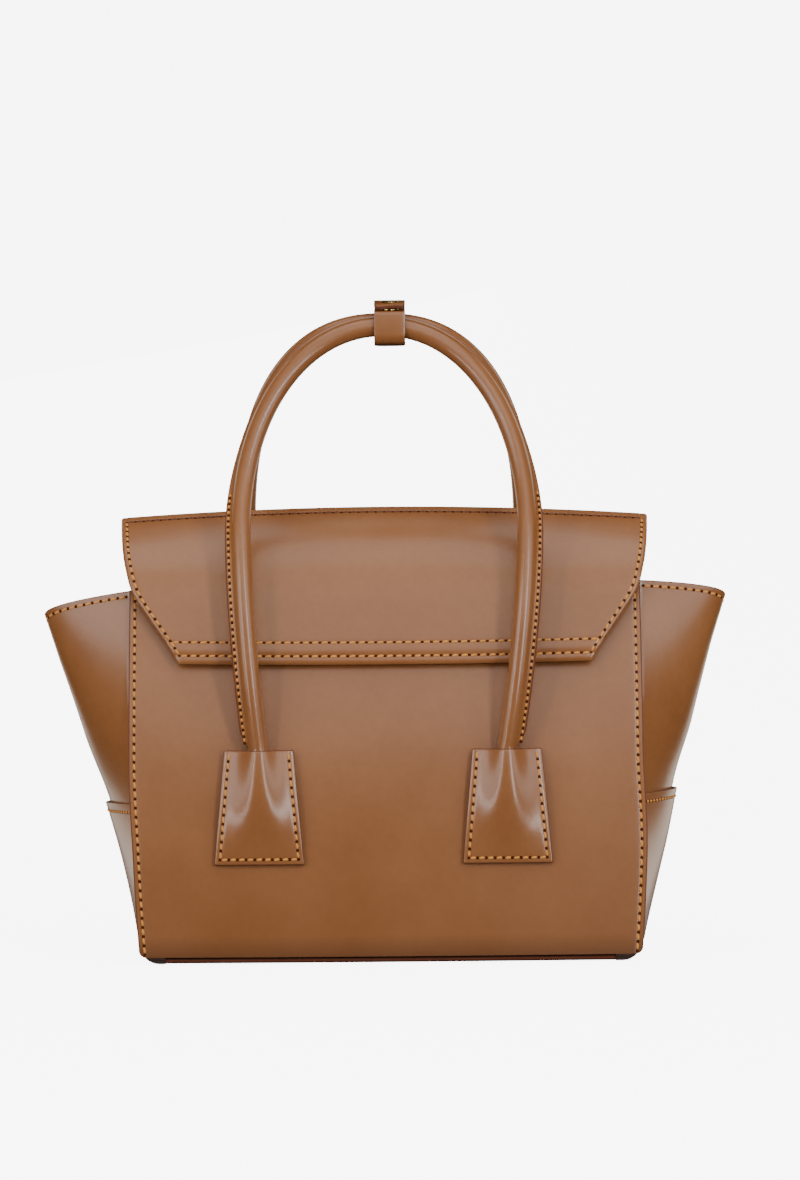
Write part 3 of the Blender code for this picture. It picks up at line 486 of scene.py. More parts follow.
class BagColours(bpy.types.PropertyGroup):
    """Colours of the finish, in linear light."""

    leather: bpy.props.FloatVectorProperty(
        name="Leather", description="The saddle leather's body colour",
        default=(0.222, 0.086, 0.026), subtype="COLOR", size=3, min=0, max=1)
    leather_deep: bpy.props.FloatVectorProperty(
        name="Deep leather", description="The leather where the dye lies thick",
        default=(0.172, 0.060, 0.016), subtype="COLOR", size=3, min=0, max=1)
    edge_paint: bpy.props.FloatVectorProperty(
        name="Edge paint", description="The paint on the cut edges",
        default=(0.070, 0.022, 0.010), subtype="COLOR", size=3, min=0, max=1)
    # Painted contact shadow: dark base leather drawn nearly black, as it sits in shadow on the
    # floor
    base: bpy.props.FloatVectorProperty(
        name="Base", description="The darker leather under the bag",
        default=(0.011, 0.0032, 0.0015), subtype="COLOR", size=3, min=0, max=1)
    thread: bpy.props.FloatVectorProperty(
        name="Thread", description="The waxed thread",
        default=(0.60, 0.245, 0.050), subtype="COLOR", size=3, min=0, max=1)
    dark_thread: bpy.props.FloatVectorProperty(
        name="Dark thread", description="The thread along the ridge",
        default=(0.120, 0.036, 0.016), subtype="COLOR", size=3, min=0, max=1)
    suede: bpy.props.FloatVectorProperty(
        name="Suede", description="The suede inside the bag",
        default=(0.40, 0.235, 0.125), subtype="COLOR", size=3, min=0, max=1)
    brass: bpy.props.FloatVectorProperty(
        name="Brass", description="The snap, the zip and its puller",
        default=(0.72, 0.50, 0.19), subtype="COLOR", size=3, min=0, max=1)
    floor: bpy.props.FloatVectorProperty(
        name="Floor", description="The pale studio floor and wall",
        default=(0.85, 0.85, 0.85), subtype="COLOR", size=3, min=0, max=1)


def sizes():
    """The sizes that the sidebar holds."""
    return bpy.context.scene.bag_sizes


def colours():
    """The colours that the sidebar holds."""
    return bpy.context.scene.bag_colours


class Link:
    """A socket in a material that sums and products can be written with."""

    def __init__(self, tree, socket=None):
        self.tree = tree
        self.socket = socket

    def node(self, kind, settings=None, inputs=None, output=0):
        """Add a node, set it up, feed its sockets and give back one of its outputs."""
        made = self.tree.nodes.new(kind)
        for name, value in (settings or {}).items():
            setattr(made, name, value)
        for name, value in (inputs or {}).items():
            if isinstance(value, Link):
                self.tree.links.new(value.socket, made.inputs[name])
            else:
                made.inputs[name].default_value = value
        return Link(self.tree, made.outputs[output])

    def math(self, operation, first, second):
        """One Math node."""
        return self.node("ShaderNodeMath", {"operation": operation}, {0: first, 1: second})

    def __add__(self, other):
        return self.math("ADD", self, other)

    __radd__ = __add__

    def __sub__(self, other):
        return self.math("SUBTRACT", self, other)

    def __rsub__(self, other):
        return self.math("SUBTRACT", other, self)

    def __mul__(self, other):
        return self.math("MULTIPLY", self, other)

    __rmul__ = __mul__

    def __truediv__(self, other):
        return self.math("DIVIDE", self, other)

    def clamp(self):
        """The value held between 0 and 1."""
        return self.node("ShaderNodeClamp", None, {"Value": self})


def new_material(name, roughness, metallic=0.0, **fixed):
    """A material, its shader and a Link to build its nodes with; fixed sockets are constants."""
    material = bpy.data.materials.new(name)
    material.use_nodes = True
    tree = material.node_tree
    shader = tree.nodes["Principled BSDF"]
    shader.inputs["Roughness"].default_value = roughness
    shader.inputs["Metallic"].default_value = metallic
    for socket, value in fixed.items():
        shader.inputs[socket.replace("_", " ")].default_value = value
    return material, shader, Link(tree)


def feed(link, shader, socket, value):
    """Join a link to one of the shader's sockets."""
    link.tree.links.new(value.socket, shader.inputs[socket])


def mix(link, factor, first, second):
    """Two colours mixed."""
    inputs = {0: factor, 6: whole_colour(first), 7: whole_colour(second)}
    return link.node("ShaderNodeMix", {"data_type": "RGBA"}, inputs, output=2)


def whole_colour(value):
    """A colour with its alpha, unless it is a link."""
    return value if isinstance(value, Link) else (*value, 1)


def object_place(link):
    """Object coordinates, which are the bag's own frame."""
    return link.node("ShaderNodeTexCoord", None, None, output=3)


def noise_at(link, place, width, detail=2.0, roughness=0.5):
    """Smooth noise whose lumps are about this wide."""
    settings = {"noise_dimensions": "3D"}
    inputs = {"Vector": place, "Scale": 1 / width, "Detail": detail, "Roughness": roughness}
    return link.node("ShaderNodeTexNoise", settings, inputs)


def height_share(link, place, low, high):
    """0 below one height, 1 above another."""
    z = link.node("ShaderNodeSeparateXYZ", None, {0: place}, output=2)
    return ((z - low) / (high - low)).clamp()


def bump(link, height, strength, distance):
    """A Bump node's normal."""
    inputs = {"Strength": strength, "Distance": distance, "Height": height}
    return link.node("ShaderNodeBump", None, inputs)


def leather_material(name, body, deep):
    """Dyed leather with grain and cloudy dye, painted shade low down, painted shadow at its foot.
    """
    material, shader, link = new_material(name, LEATHER_ROUGHNESS, Specular_IOR_Level=0.5,
                                          Coat_Weight=COAT, Coat_Roughness=0.20)
    place = object_place(link)
    grain_width = sizes().grain
    pebbles = link.node("ShaderNodeTexVoronoi", {"feature": "F1"},
                        {"Vector": place, "Scale": 1 / grain_width})
    fine = noise_at(link, place, grain_width * 0.45, 3.0)
    cloud = noise_at(link, place, CLOUD_WIDTH, 3.0, 0.55)
    speck = noise_at(link, place, SPECK_WIDTH, 2.0)
    dye = ((cloud - 0.5) * 1.5 + (speck - 0.5) * 0.5 + 0.5).clamp()
    colour = mix(link, dye, deep, body)
    # Painted shade: the leather is drawn darker towards the bottom of the bag
    tone = height_share(link, place, 0.0, LOW_SHADE_HEIGHT)
    shade = tuple(channel * 0.72 for channel in deep)
    colour = mix(link, 0.62 + 0.38 * tone, shade, colour)
    # Painted shade: a darkening that fades out a little above the foot
    near = height_share(link, place, FOOT_SHADE, FOOT_SHADE * 4)
    colour = mix(link, 0.45 + 0.55 * near, tuple(channel * 0.30 for channel in deep), colour)
    # Painted contact shadow: the lowest band of the leather is drawn nearly black
    foot = height_share(link, place, FOOT_SHADE * 0.6, FOOT_SHADE)
    colour = mix(link, foot, tuple(channel * 0.12 for channel in deep), colour)
    roughness = FOOT_ROUGHNESS - foot * (FOOT_ROUGHNESS - LEATHER_ROUGHNESS)
    feed(link, shader, "Coat Weight", foot * COAT)
    feed(link, shader, "Base Color", colour)
    feed(link, shader, "Roughness", roughness + 0.10 * (cloud - 0.5) + 0.12 * (fine - 0.5))
    height = pebbles * 0.55 + fine * 0.45
    feed(link, shader, "Normal", bump(link, height, 0.16, 0.00012))
    return material


def foot_shadow_material(name, dark):
    """Base leather painted nearly black as contact shadow, with a warmer band halfway up its rim.
    """
    material, shader, link = new_material(name, 0.8, Specular_IOR_Level=0.10)
    place = object_place(link)
    rising = height_share(link, place, STREAK_HEIGHT * 0.35, STREAK_HEIGHT)
    falling = 1 - height_share(link, place, STREAK_HEIGHT, STREAK_HEIGHT * 1.7)
    streak = rising * falling * (0.6 + 0.8 * noise_at(link, place, 0.03))
    warm = tuple(channel * 9 for channel in dark)
    feed(link, shader, "Base Color", mix(link, streak.clamp(), dark, warm))
    feed(link, shader, "Normal", bump(link, noise_at(link, place, 0.0012), 0.2, 0.0002))
    return material


def edge_material():
    """Burnished, painted cut edges, streaked lighter and darker."""
    material, shader, link = new_material("painted_edge", 0.55, Specular_IOR_Level=0.15)
    place = object_place(link)
    streak = noise_at(link, place, 0.004, 3.0)
    paint = colours().edge_paint
    bright = tuple(min(channel * 1.9, 1.0) for channel in paint)
    feed(link, shader, "Base Color", mix(link, streak, paint, bright))
    feed(link, shader, "Normal", bump(link, noise_at(link, place, 0.0012), 0.25, 0.0002))
    return material


def thread_material(name, colour):
    """Waxed, twisted thread."""
    material, shader, link = new_material(name, 0.6, Specular_IOR_Level=0.25)
    place = object_place(link)
    ply = noise_at(link, place, 0.0005, 1.0)
    worn = noise_at(link, place, 0.012, 2.0)
    dark = tuple(channel * 0.55 for channel in colour)
    feed(link, shader, "Base Color", mix(link, (0.45 * ply + 0.75 * worn).clamp(), dark, colour))
    feed(link, shader, "Normal", bump(link, ply, 0.5, 0.0002))
    return material


def hole_shade_material():
    """Painted shade for the inside of a needle hole: dark and fully rough."""
    material, shader, link = new_material("needle_hole", 1.0, Specular_IOR_Level=0.0)
    place = object_place(link)
    feed(link, shader, "Base Color", mix(link, noise_at(link, place, 0.003), *NEEDLE_HOLE_SHADOWS))
    return material


def suede_material():
    """Short brushed suede, which catches light across its nap."""
    material, shader, link = new_material("suede", 0.95, Sheen_Weight=0.4, Sheen_Roughness=0.5)
    place = object_place(link)
    nap = noise_at(link, place, 0.0009, 4.0, 0.65)
    brushed = noise_at(link, place, 0.030, 3.0)
    tone = colours().suede
    dark = tuple(channel * 0.72 for channel in tone)
    feed(link, shader, "Base Color", mix(link, (0.4 * nap + 0.8 * brushed).clamp(), dark, tone))
    feed(link, shader, "Normal", bump(link, nap, 0.45, 0.0004))
    return material


def brass_material():
    """Polished brass with fine scratches and a little tarnish."""
    material, shader, link = new_material("brass", BRASS_ROUGHNESS, metallic=0.78)
    place = object_place(link)
    tarnish = noise_at(link, place, 0.004, 4.0, 0.6)
    fine = noise_at(link, place, 0.0006, 2.0)
    bright = colours().brass
    dull = tuple(channel * 0.6 for channel in bright)
    feed(link, shader, "Base Color", mix(link, (tarnish * 1.4 - 0.1).clamp(), dull, bright))
    feed(link, shader, "Roughness", BRASS_ROUGHNESS + 0.18 * tarnish * fine)
    feed(link, shader, "Normal", bump(link, fine, 0.08, 0.0001))
    return material


def board_material():
    """Pressed fibre board inside the walls and base."""
    material, shader, link = new_material("fibre_board", 0.9)
    place = object_place(link)
    fibre = noise_at(link, place, 0.0016, 5.0, 0.7)
    feed(link, shader, "Base Color", mix(link, fibre, *BOARD_SHADES))
    feed(link, shader, "Normal", bump(link, fibre, 0.4, 0.0004))
    return material


def cord_material():
    """The laid cotton cord inside the handles."""
    material, shader, link = new_material("cotton_cord", 0.9, Sheen_Weight=0.3)
    place = object_place(link)
    lay = link.node("ShaderNodeTexWave", {"bands_direction": "DIAGONAL"},
                    {"Vector": place, "Scale": 260.0, "Distortion": 1.5})
    lay_tone = lay * 0.7 + noise_at(link, place, 0.002) * 0.3
    feed(link, shader, "Base Color", mix(link, lay_tone, *CORD_SHADES))
    feed(link, shader, "Normal", bump(link, lay, 0.5, 0.0005))
    return material


def magnet_material():
    """Nickel-plated magnet discs."""
    material, shader, link = new_material("plated_magnet", 0.32, metallic=1.0)
    place = object_place(link)
    wear = noise_at(link, place, 0.0025, 4.0, 0.6)
    feed(link, shader, "Base Color", mix(link, wear, *NICKEL_SHADES))
    feed(link, shader, "Roughness", 0.25 + 0.2 * wear)
    return material


def finish(name):
    """One of the bag's shared finishes, made the first time it is asked for."""
    found = bpy.data.materials.get(name)
    if found:
        return found
    tones = colours()
    makers = {
        "saddle_leather": lambda: leather_material(name, tones.leather, tones.leather_deep),
        "base_shadow_leather": lambda: foot_shadow_material(name, tones.base),
        "painted_edge": edge_material,
        "waxed_thread": lambda: thread_material(name, tones.thread),
        "dark_thread": lambda: thread_material(name, tones.dark_thread),
        "zip_tape": lambda: thread_material(name, tones.suede),
        "needle_hole": hole_shade_material,
        "suede": suede_material,
        "brass": brass_material,
        "fibre_board": board_material,
        "cotton_cord": cord_material,
        "plated_magnet": magnet_material,
    }
    return makers[name]()


def bend_at_ridge(piece):
    """Bake the flap's placement into its mesh; the flap is sewn to the back panel at the ridge."""
    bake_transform(piece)


def place_piece(name, bm, materials, body, smooth_deg=SMOOTH_DEG):
    """Put a finished bmesh in the scene as a named piece that rides on a body."""
    mesh = bpy.data.meshes.new(name)
    bm.to_mesh(mesh)
    bm.free()
    mesh.shade_smooth()
    mesh.set_sharp_from_angle(angle=math.radians(smooth_deg))
    for material in materials:
        mesh.materials.append(finish(material))
    piece = bpy.data.objects.new(name, mesh)
    bpy.context.collection.objects.link(piece)
    if body == "flap":
        bend_at_ridge(piece)
    elif body:
        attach(piece, body)
    return piece


def skin_sheet(name, columns, rows, place, thickness, materials, body, flip=False,
               painted_sides=False):
    """A skin over a grid of columns and rows, its thickness inward and its cut edge rounded."""
    bm = bmesh.new()
    bmesh.ops.create_grid(bm, x_segments=len(columns) - 1, y_segments=len(rows) - 1, size=1)
    if painted_sides:
        for face in bm.faces:
            outermost = abs(face.calc_center_median().x) > 1 - 2 / (len(columns) - 1)
            face.material_index = 1 if outermost else 0
    for vert in bm.verts:
        column = round((vert.co.x + 1) / 2 * (len(columns) - 1))
        row = round((vert.co.y + 1) / 2 * (len(rows) - 1))
        vert.co = place(columns[column], rows[row])
    if flip:
        bmesh.ops.reverse_faces(bm, faces=bm.faces)
    piece = place_piece(name, bm, materials, body)
    shell = piece.modifiers.new("Thickness", "SOLIDIFY")
    shell.thickness = thickness
    shell.offset = -1
    shell.use_even_offset = True
    shell.material_offset_rim = len(materials) - 1
    rounding = piece.modifiers.new("Edge", "BEVEL")
    rounding.width = min(sizes().edge_round, thickness * 0.45)
    rounding.segments = 2
    rounding.limit_method = "ANGLE"
    rounding.angle_limit = math.radians(CUT_EDGE_DEG)
    rounding.material = len(materials) - 1
    return piece


def normal_of(surface, a, b, outward, step=0.0004):
    """A surface's outward normal at (a, b)."""
    along_a = surface(a + step, b) - surface(a - step, b)
    along_b = surface(a, b + step) - surface(a, b - step)
    normal = along_a.cross(along_b).normalized()
    return normal if normal.dot(outward) > 0 else -normal


def walk(surface, route, pitch):
    """Points at even steps along a route over a surface, as parameter pairs."""
    fine = []
    for (a0, b0), (a1, b1) in zip(route, route[1:]):
        fine += [(a0 + (a1 - a0) * i / ROUTE_READS_count, b0 + (b1 - b0) * i / ROUTE_READS_count)
                 for i in range(ROUTE_READS_count)]
    fine.append(route[-1])
    places = [surface(a, b) for a, b in fine]
    lengths = [0.0]
    for before, after in zip(places, places[1:]):
        lengths.append(lengths[-1] + (after - before).length)
    count = max(round(lengths[-1] / pitch), 1)
    found = []
    index = 0
    for step in range(count + 1):
        goal = lengths[-1] * step / count
        while index < len(lengths) - 2 and lengths[index + 1] < goal:
            index += 1
        span = max(lengths[index + 1] - lengths[index], 1e-9)
        share = min((goal - lengths[index]) / span, 1.0)
        (a0, b0), (a1, b1) = fine[index], fine[index + 1]
        found.append((a0 + (a1 - a0) * share, b0 + (b1 - b0) * share))
    return found


def stitch_shape():
    """One stitch along X on a face that looks along Z: the thread, and its needle hole."""
    size = sizes()
    bm = bmesh.new()
    thread = bmesh.ops.create_uvsphere(bm, u_segments=6, v_segments=5, radius=0.5)["verts"]
    along_x = Matrix.Rotation(math.radians(90), 3, "Y")
    bmesh.ops.rotate(bm, cent=(0, 0, 0), matrix=along_x, verts=thread)
    bmesh.ops.scale(bm, vec=(1, size.thread, size.thread * 0.85), verts=thread)
    # The needle hole is a shallow dark cone: painted shade for the hole's recess
    hole = bmesh.ops.create_cone(bm, cap_ends=True, segments=8, radius1=size.needle_hole * 0.4,
                                 radius2=size.needle_hole / 2, depth=HOLE_DEPTH)["verts"]
    for vert in hole:
        for face in vert.link_faces:
            face.material_index = 1
    mesh = bpy.data.meshes.new("stitch_shape")
    bm.to_mesh(mesh)
    bm.free()
    return mesh


def sew(name, rows, body, thread="waxed_thread", blend=None, slant=SLANT_DEG):
    """Rows of stitches in one piece; a row is a surface, a route, its outward side and a pitch."""
    shape = stitch_shape()
    bm = bmesh.new()
    size = sizes()
    for surface, route, outward, pitch in rows:
        stops = walk(surface, route, pitch)
        points = [surface(a, b) for a, b in stops]
        for index, (start, end) in enumerate(zip(points, points[1:])):
            a = (stops[index][0] + stops[index + 1][0]) / 2
            b = (stops[index][1] + stops[index + 1][1]) / 2
            normal = normal_of(surface, a, b, outward)
            along = (end - start).normalized()
            across = normal.cross(along).normalized()
            turn = math.radians(slant * (0.8 + 0.4 * noise.noise(start * 900)))
            leaned = along * math.cos(turn) + across * math.sin(turn)
            middle = (start + end) / 2 + normal * size.thread * THREAD_LIFT_share
            length = (end - start).length - size.needle_hole * HOLE_OVERLAP_share
            add_stitch(bm, shape, start, middle, (leaned, normal.cross(leaned), normal),
                       (along, across, normal), length)
    bpy.data.meshes.remove(shape)
    piece = place_piece(name, bm, (thread, "needle_hole"), None if blend else body)
    if blend:
        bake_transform(piece)
    return piece


def add_stitch(bm, shape, hole, middle, lean, square, length):
    """Put one stitch's thread and needle hole in a mesh."""
    first = len(bm.verts)
    bm.from_mesh(shape)
    bm.verts.ensure_lookup_table()
    added = bm.verts[first:]
    for vert in added:
        x, y, z = vert.co
        if any(face.material_index == 1 for face in vert.link_faces):
            vert.co = hole + square[0] * x + square[1] * y + square[2] * z
        else:
            vert.co = middle + lean[0] * (x * length) + lean[1] * y + lean[2] * z


def edge_columns(middle_count, steps=EDGE_STEPS):
    """Columns as (weight, offset): x is weight times the half width plus the offset."""
    left = [(-1.0, distance) for distance in steps]
    right = [(1.0, -distance) for distance in reversed(steps)]
    middle = [(share, -share * steps[-1]) for share in even_shares(middle_count + 2, -1.0)[1:-1]]
    return left + middle + right


def groove(distance, row):
    """How deep a sewn row pulls the leather down at a distance from its edge."""
    return GROOVE_DEPTH * math.exp(-((distance - row) / GROOVE_WIDTH) ** 2)


def rolled(distance, depth):
    """How far a turned edge rolls in at a distance from it."""
    return depth * max(0.0, 1 - distance / TURNED_WIDTH) ** 2


def front_skin(x, z, face=-1):
    """The outer face of the front or back panel."""
    row = groove(panel_half(z) - abs(x), sizes().row_inset)
    return settle(Vector((x, face * (half_depth(x, z) - row), z)))


def skin_rows(low, high, step):
    """Even heights, the first and last included."""
    return even_shares(max(round((high - low) / step), 2) + 1, low, high)


def build_panel(face, top):
    """The front (face -1) or back (face 1) panel and its sewn side rows."""
    name = "front" if face < 0 else "back"
    rows = [PANEL_FOOT + PANEL_CORNER * share for share in CORNER_shares]
    rows += skin_rows(PANEL_FOOT + PANEL_CORNER, top, PANEL_STEP)

    def place(column, z):
        weight, offset = column
        return front_skin(weight * panel_edge(z) + offset, z, face)
    panel = skin_sheet(name + "_panel_skin", edge_columns(40), rows, place, LEATHER,
                       LEATHER_FINISH, "root", flip=face > 0, painted_sides=True)
    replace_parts(panel, name + "_panel")
    inset = sizes().row_inset
    low = PANEL_FOOT + PANEL_CORNER * PANEL_ROW_FOOT_share
    outward = Vector((0, face, 0))
    sewn = []
    for side in (-1, 1):
        route = [(side * (panel_half(z) - inset), z)
                 for z in skin_rows(low, top - inset / 2, PANEL_ROUTE_STEP)]
        sewn.append((lambda x, z: front_skin(x, z, face), route, outward, sizes().stitch_pitch))
    sew(name + "_panel_thread", sewn, "root")


class HANDBAG_OT_front_panel(bpy.types.Operator):
    """Make the front panel's leather and its sewn sides"""

    bl_idname = "handbag.front_panel"
    bl_label = "Front Panel"

    def execute(self, context):
        build_panel(-1, MOUTH_HEIGHT)
        return {"FINISHED"}


class HANDBAG_OT_back_panel(bpy.types.Operator):
    """Make the back panel's leather, which runs up to the ridge, and its sewn sides"""

    bl_idname = "handbag.back_panel"
    bl_label = "Back Panel"

    def execute(self, context):
        build_panel(1, RIDGE_HEIGHT - FIT_GAP)
        return {"FINISHED"}


def gusset_columns():
    """Columns across a gusset, from the front flange to the back one, close by the crease."""
    half = GUSSET_HALF_shares
    return [-share for share in half[:0:-1]] + list(half)


def wing_top(across):
    """Height of a gusset's top edge, which bows up between the crease and the panels."""
    share = min(abs(across), 1.0)
    return MOUTH_HEIGHT - WING_DROP * (1 - share) + 4 * WING_BOW * share * (1 - share)


def lower_skin(side, across, share):
    """The outer face of a lower gusset, pinched along its sewn top row."""
    z = gusset_route(share)[1]
    row = groove(SEAM_HEIGHT - z, SEAM_ROW) if abs(across) <= 1 else 0.0
    point = settle(gusset_point(side, across, share, row))
    point.z = max(point.z, 0.0)
    return point


def upper_skin(side, across, z):
    """The outer face of an upper gusset, which sinks in under the lower one at its foot."""
    tuck = (LAP + FIT_GAP / 2) * (1 - blend_share((z - SEAM_HEIGHT - FIT_GAP) / SEAM_EASE))
    row = groove(wing_top(across) - z, WING_ROW) if abs(across) <= 1 else 0.0
    return settle(gusset_point(side, across, gusset_share(z), tuck + row))


def build_gusset(side):
    """Both gusset pieces of one side, with the seam between and the sewn wing edge."""
    name = side_name(side)
    seam = gusset_share(SEAM_HEIGHT)
    rows = [-1.0, -0.5] + even_shares(10)
    rows += [1 + (seam - 1) * share for share in even_shares(20)[1:-1] + list(SEAM_shares)]
    lower = skin_sheet(name + "_gusset_lower_skin", gusset_columns(), rows,
                       lambda across, share: lower_skin(side, across, share), LEATHER,
                       LEATHER_FINISH, "root", flip=side < 0)
    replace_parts(lower, name + "_gusset_lower")
    low = SEAM_HEIGHT - SEAM_LAP
    shares = even_shares(44)[:-2] + list(WING_TOP_shares)

    def place(across, share):
        return upper_skin(side, across, low + (wing_top(across) - low) * share)
    upper = skin_sheet(name + "_gusset_upper_skin", gusset_columns(), shares, place, LEATHER,
                       LEATHER_FINISH, "root", flip=side < 0)
    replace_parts(upper, name + "_gusset_upper")
    outward = Vector((side, 0, 0))
    seam_share = gusset_share(SEAM_HEIGHT - SEAM_ROW)
    crossing = even_shares(25, -GUSSET_ROW_share, GUSSET_ROW_share)
    sewn = [(lambda across, share: lower_skin(side, across, share),
             [(across, seam_share) for across in crossing], outward, sizes().fine_pitch)]
    sewn.append((lambda across, z: upper_skin(side, across, z),
                 [(across, wing_top(across) - WING_ROW) for across in crossing], outward,
                 sizes().stitch_pitch))
    sew(name + "_gusset_thread", sewn, "root")


class HANDBAG_OT_gussets(bpy.types.Operator):
    """Make the folding side gussets with their wings"""

    bl_idname = "handbag.gussets"
    bl_label = "Side Gussets"

    def execute(self, context):
        for side in (-1, 1):
            build_gusset(side)
        return {"FINISHED"}


class HANDBAG_OT_base(bpy.types.Operator):
    """Make the base panel, dark leather with painted contact shadow, and its turned-up lips"""

    bl_idname = "handbag.base"
    bl_label = "Base"

    def execute(self, context):
        end = base_end() - GUSSET_TOE - FIT_GAP

        def place(across, along):
            x = along * end
            depth = half_depth(x, 0.0) - LAP
            rise = max(abs(across) - 1, 0.0) * FLANGE
            return settle((x, min(max(across, -1.0), 1.0) * depth, FIT_GAP + rise))
        columns = [-share for share in reversed(BASE_LIP_shares)]
        columns += even_shares(31, -1.0) + list(BASE_LIP_shares)
        base = skin_sheet("base_skin", columns, even_shares(61, -1.0), place, LEATHER - FIT_GAP,
                          ("base_shadow_leather", "painted_edge"), "root")
        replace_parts(base, "base_panel")
        return {"FINISHED"}


def flap_profile():
    """Rows of the flap from the bottom edge to the ridge: depth, height and half width."""
    def outside(share):
        z = FLAP_BOTTOM + share * FLAP_DROP
        return -half_depth(0, z) - FLAP_LOW_OFFSET - share * (FLAP_HIGH_OFFSET - FLAP_LOW_OFFSET), z

    def half(widening):
        return FLAP_BOTTOM_HALF + widening * (FLAP_RIDGE_HALF - FLAP_BOTTOM_HALF)
    places = [(*outside(share), half(widening)) for share, widening in FLAP_LOWER_shares]
    bend = outside(1.0)[0]
    for back, rise, widening in FLAP_UPPER_shares:
        y = bend + back * (FLAP_RIDGE_OFFSET - bend)
        places.append((y, MOUTH_HEIGHT + rise * (RIDGE_HEIGHT - MOUTH_HEIGHT), half(widening)))
    return smooth_points(places, FLAP_ROWS_count)


def flap_lengths(rows):
    """Distance along the flap from its bottom edge, row by row."""
    found = [0.0]
    for before, after in zip(rows, rows[1:]):
        found.append(found[-1] + math.hypot(after[0] - before[0], after[1] - before[1]))
    return found


def flap_at(rows, lengths, distance):
    """Depth, height, half width and outward direction at a distance up the flap."""
    distance = min(max(distance, 0.0), lengths[-1])
    index = 0
    while index < len(lengths) - 2 and lengths[index + 1] < distance:
        index += 1
    share = (distance - lengths[index]) / (lengths[index + 1] - lengths[index])
    before, after = rows[index], rows[index + 1]
    y, z, half = (a + (b - a) * share for a, b in zip(before, after))
    run = Vector((0, after[0] - before[0], after[1] - before[1])).normalized()
    return y, z, half, Vector((0, -run.z, run.y))


def flap_surface(inset=0.0):
    """The flap's outer face, or a face under it, by x and distance up from the bottom edge."""
    rows = flap_profile()
    lengths = flap_lengths(rows)

    def surface(x, distance):
        y, z, half, outward = flap_at(rows, lengths, distance)
        edge = half - abs(x)
        sunk = 0.0
        if inset == 0.0:
            inner = BAND_HEIGHT - BAND_ROW
            band = max(0.0, 1 - ((distance - BAND_ROW - inner / 2) / (inner / 2)) ** 2)
            sunk = groove(distance, BAND_ROW) + groove(distance, BAND_HEIGHT) - BAND_PUFF * band
            sunk += groove(edge, sizes().row_inset) + groove(lengths[-1] - distance, RIDGE_ROW)
            sunk += rolled(min(edge, distance), EDGE_ROLL)
        bow = FLAP_BOW * (x / FLAP_BOTTOM_HALF) ** 2 * (1 - distance / lengths[-1])
        return settle(Vector((x, y, z + bow)) - outward * (inset + sunk), hang=0.0)
    return surface, rows, lengths


class HANDBAG_OT_flap(bpy.types.Operator):
    """Make the front flap: leather, backing, the padded band and its sewn rows"""

    bl_idname = "handbag.flap"
    bl_label = "Flap"

    def execute(self, context):
        surface, rows, lengths = flap_surface()
        total = lengths[-1]
        ups = list(BAND_STEPS)
        ups += skin_rows(BAND_STEPS_END, total - RIDGE_STEPS_START, FLAP_STEP)
        ups += [total - rest for rest in RIDGE_STEPS]

        def place(column, distance):
            weight, offset = column
            half = flap_at(rows, lengths, distance)[2]
            return surface(weight * half + offset, distance)
        leather = skin_sheet("flap_skin", edge_columns(44), ups, place, FLAP_SKIN,
                             LEATHER_FINISH, "flap")
        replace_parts(leather, "flap")
        inner = flap_surface(FLAP_SKIN + FLAP_LAYER_GAP)[0]

        def inner_place(column, distance):
            weight, offset = column
            half = flap_at(rows, lengths, distance)[2] - BACKING_MARGIN
            return inner(weight * half + offset, distance)
        ups = skin_rows(BACKING_MARGIN, total - BACKING_SHORT, BACKING_STEP)
        backing = skin_sheet("flap_backing_skin", edge_columns(24), ups, inner_place, FLAP_BACKING,
                             ("suede", "painted_edge"), "flap")
        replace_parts(backing, "flap_lining")
        self.sew_rows(surface, rows, lengths)
        return {"FINISHED"}

    def sew_rows(self, surface, rows, lengths):
        """The two rows over the band, the rows up both sides and the dark row at the ridge."""
        total = lengths[-1]
        inset = sizes().row_inset
        pitch = sizes().stitch_pitch
        front = Vector((0, -1, 0.4))

        def half(distance):
            return flap_at(rows, lengths, distance)[2]

        def crossing(up):
            reach = half(up) - inset
            return [(x, up) for x in even_shares(41, -reach, reach)]
        ridge = total - RIDGE_ROW
        sewn = [(surface, crossing(up), front, pitch) for up in (BAND_ROW, BAND_HEIGHT)]
        for side in (-1, 1):
            route = [(side * (half(up) - inset), up)
                     for up in skin_rows(BAND_ROW, ridge, SHORT_ROUTE_STEP)]
            sewn.append((surface, route, front, pitch))
        sew("flap_thread", sewn, "flap")
        sew("flap_ridge_thread", [(surface, crossing(ridge), front, pitch * RIDGE_PITCH_share)],
            "flap", thread="dark_thread", slant=RIDGE_SLANT_DEG)


def foot_x(side):
    """Where a handle's foot and its tab stand along X."""
    return side * TAB_CENTRE - TAB_SHIFT


def tab_half(z):
    """Half the width of a handle tab at a height."""
    share = (z - TAB_BOTTOM) / (TAB_TOP - TAB_BOTTOM)
    return TAB_BOTTOM_WIDTH / 2 + share * (TAB_TOP_WIDTH - TAB_BOTTOM_WIDTH) / 2


def tab_fade(z):
    """How much of the bulge over a handle's end is left at a height."""
    return blend_share(max((z - TAB_FADE_END) / (TAB_TOP - TAB_FADE_END), 0.0) ** TAB_FADE_power)


def bulge_height(z):
    """How far a tab's middle stands off the panel over the handle's end."""
    return (2 * HANDLE_RADIUS + 2 * FIT_GAP) * tab_fade(z)


def root_half_width(z):
    """Half the width of the handle's end under its tab, which spreads as it flattens."""
    return HANDLE_RADIUS + ROOT_SPREAD * (TAB_TOP - z) / (TAB_TOP - TAB_BULGE_END)


def tab_bump(across, z):
    """The leather's rise over the handle's end: a rounded ridge that opens like a bell below."""
    low = 1 - min((z - TAB_BULGE_END) / (TAB_TOP - TAB_BULGE_END), 1.0)
    reach = (root_half_width(z) + TAB_BULGE_SIDE) * (1 + TAB_BELL * low)
    share = abs(across) / (TAB_WAIST * reach)
    return bulge_height(z) / (1 + share ** TAB_BULGE_power)


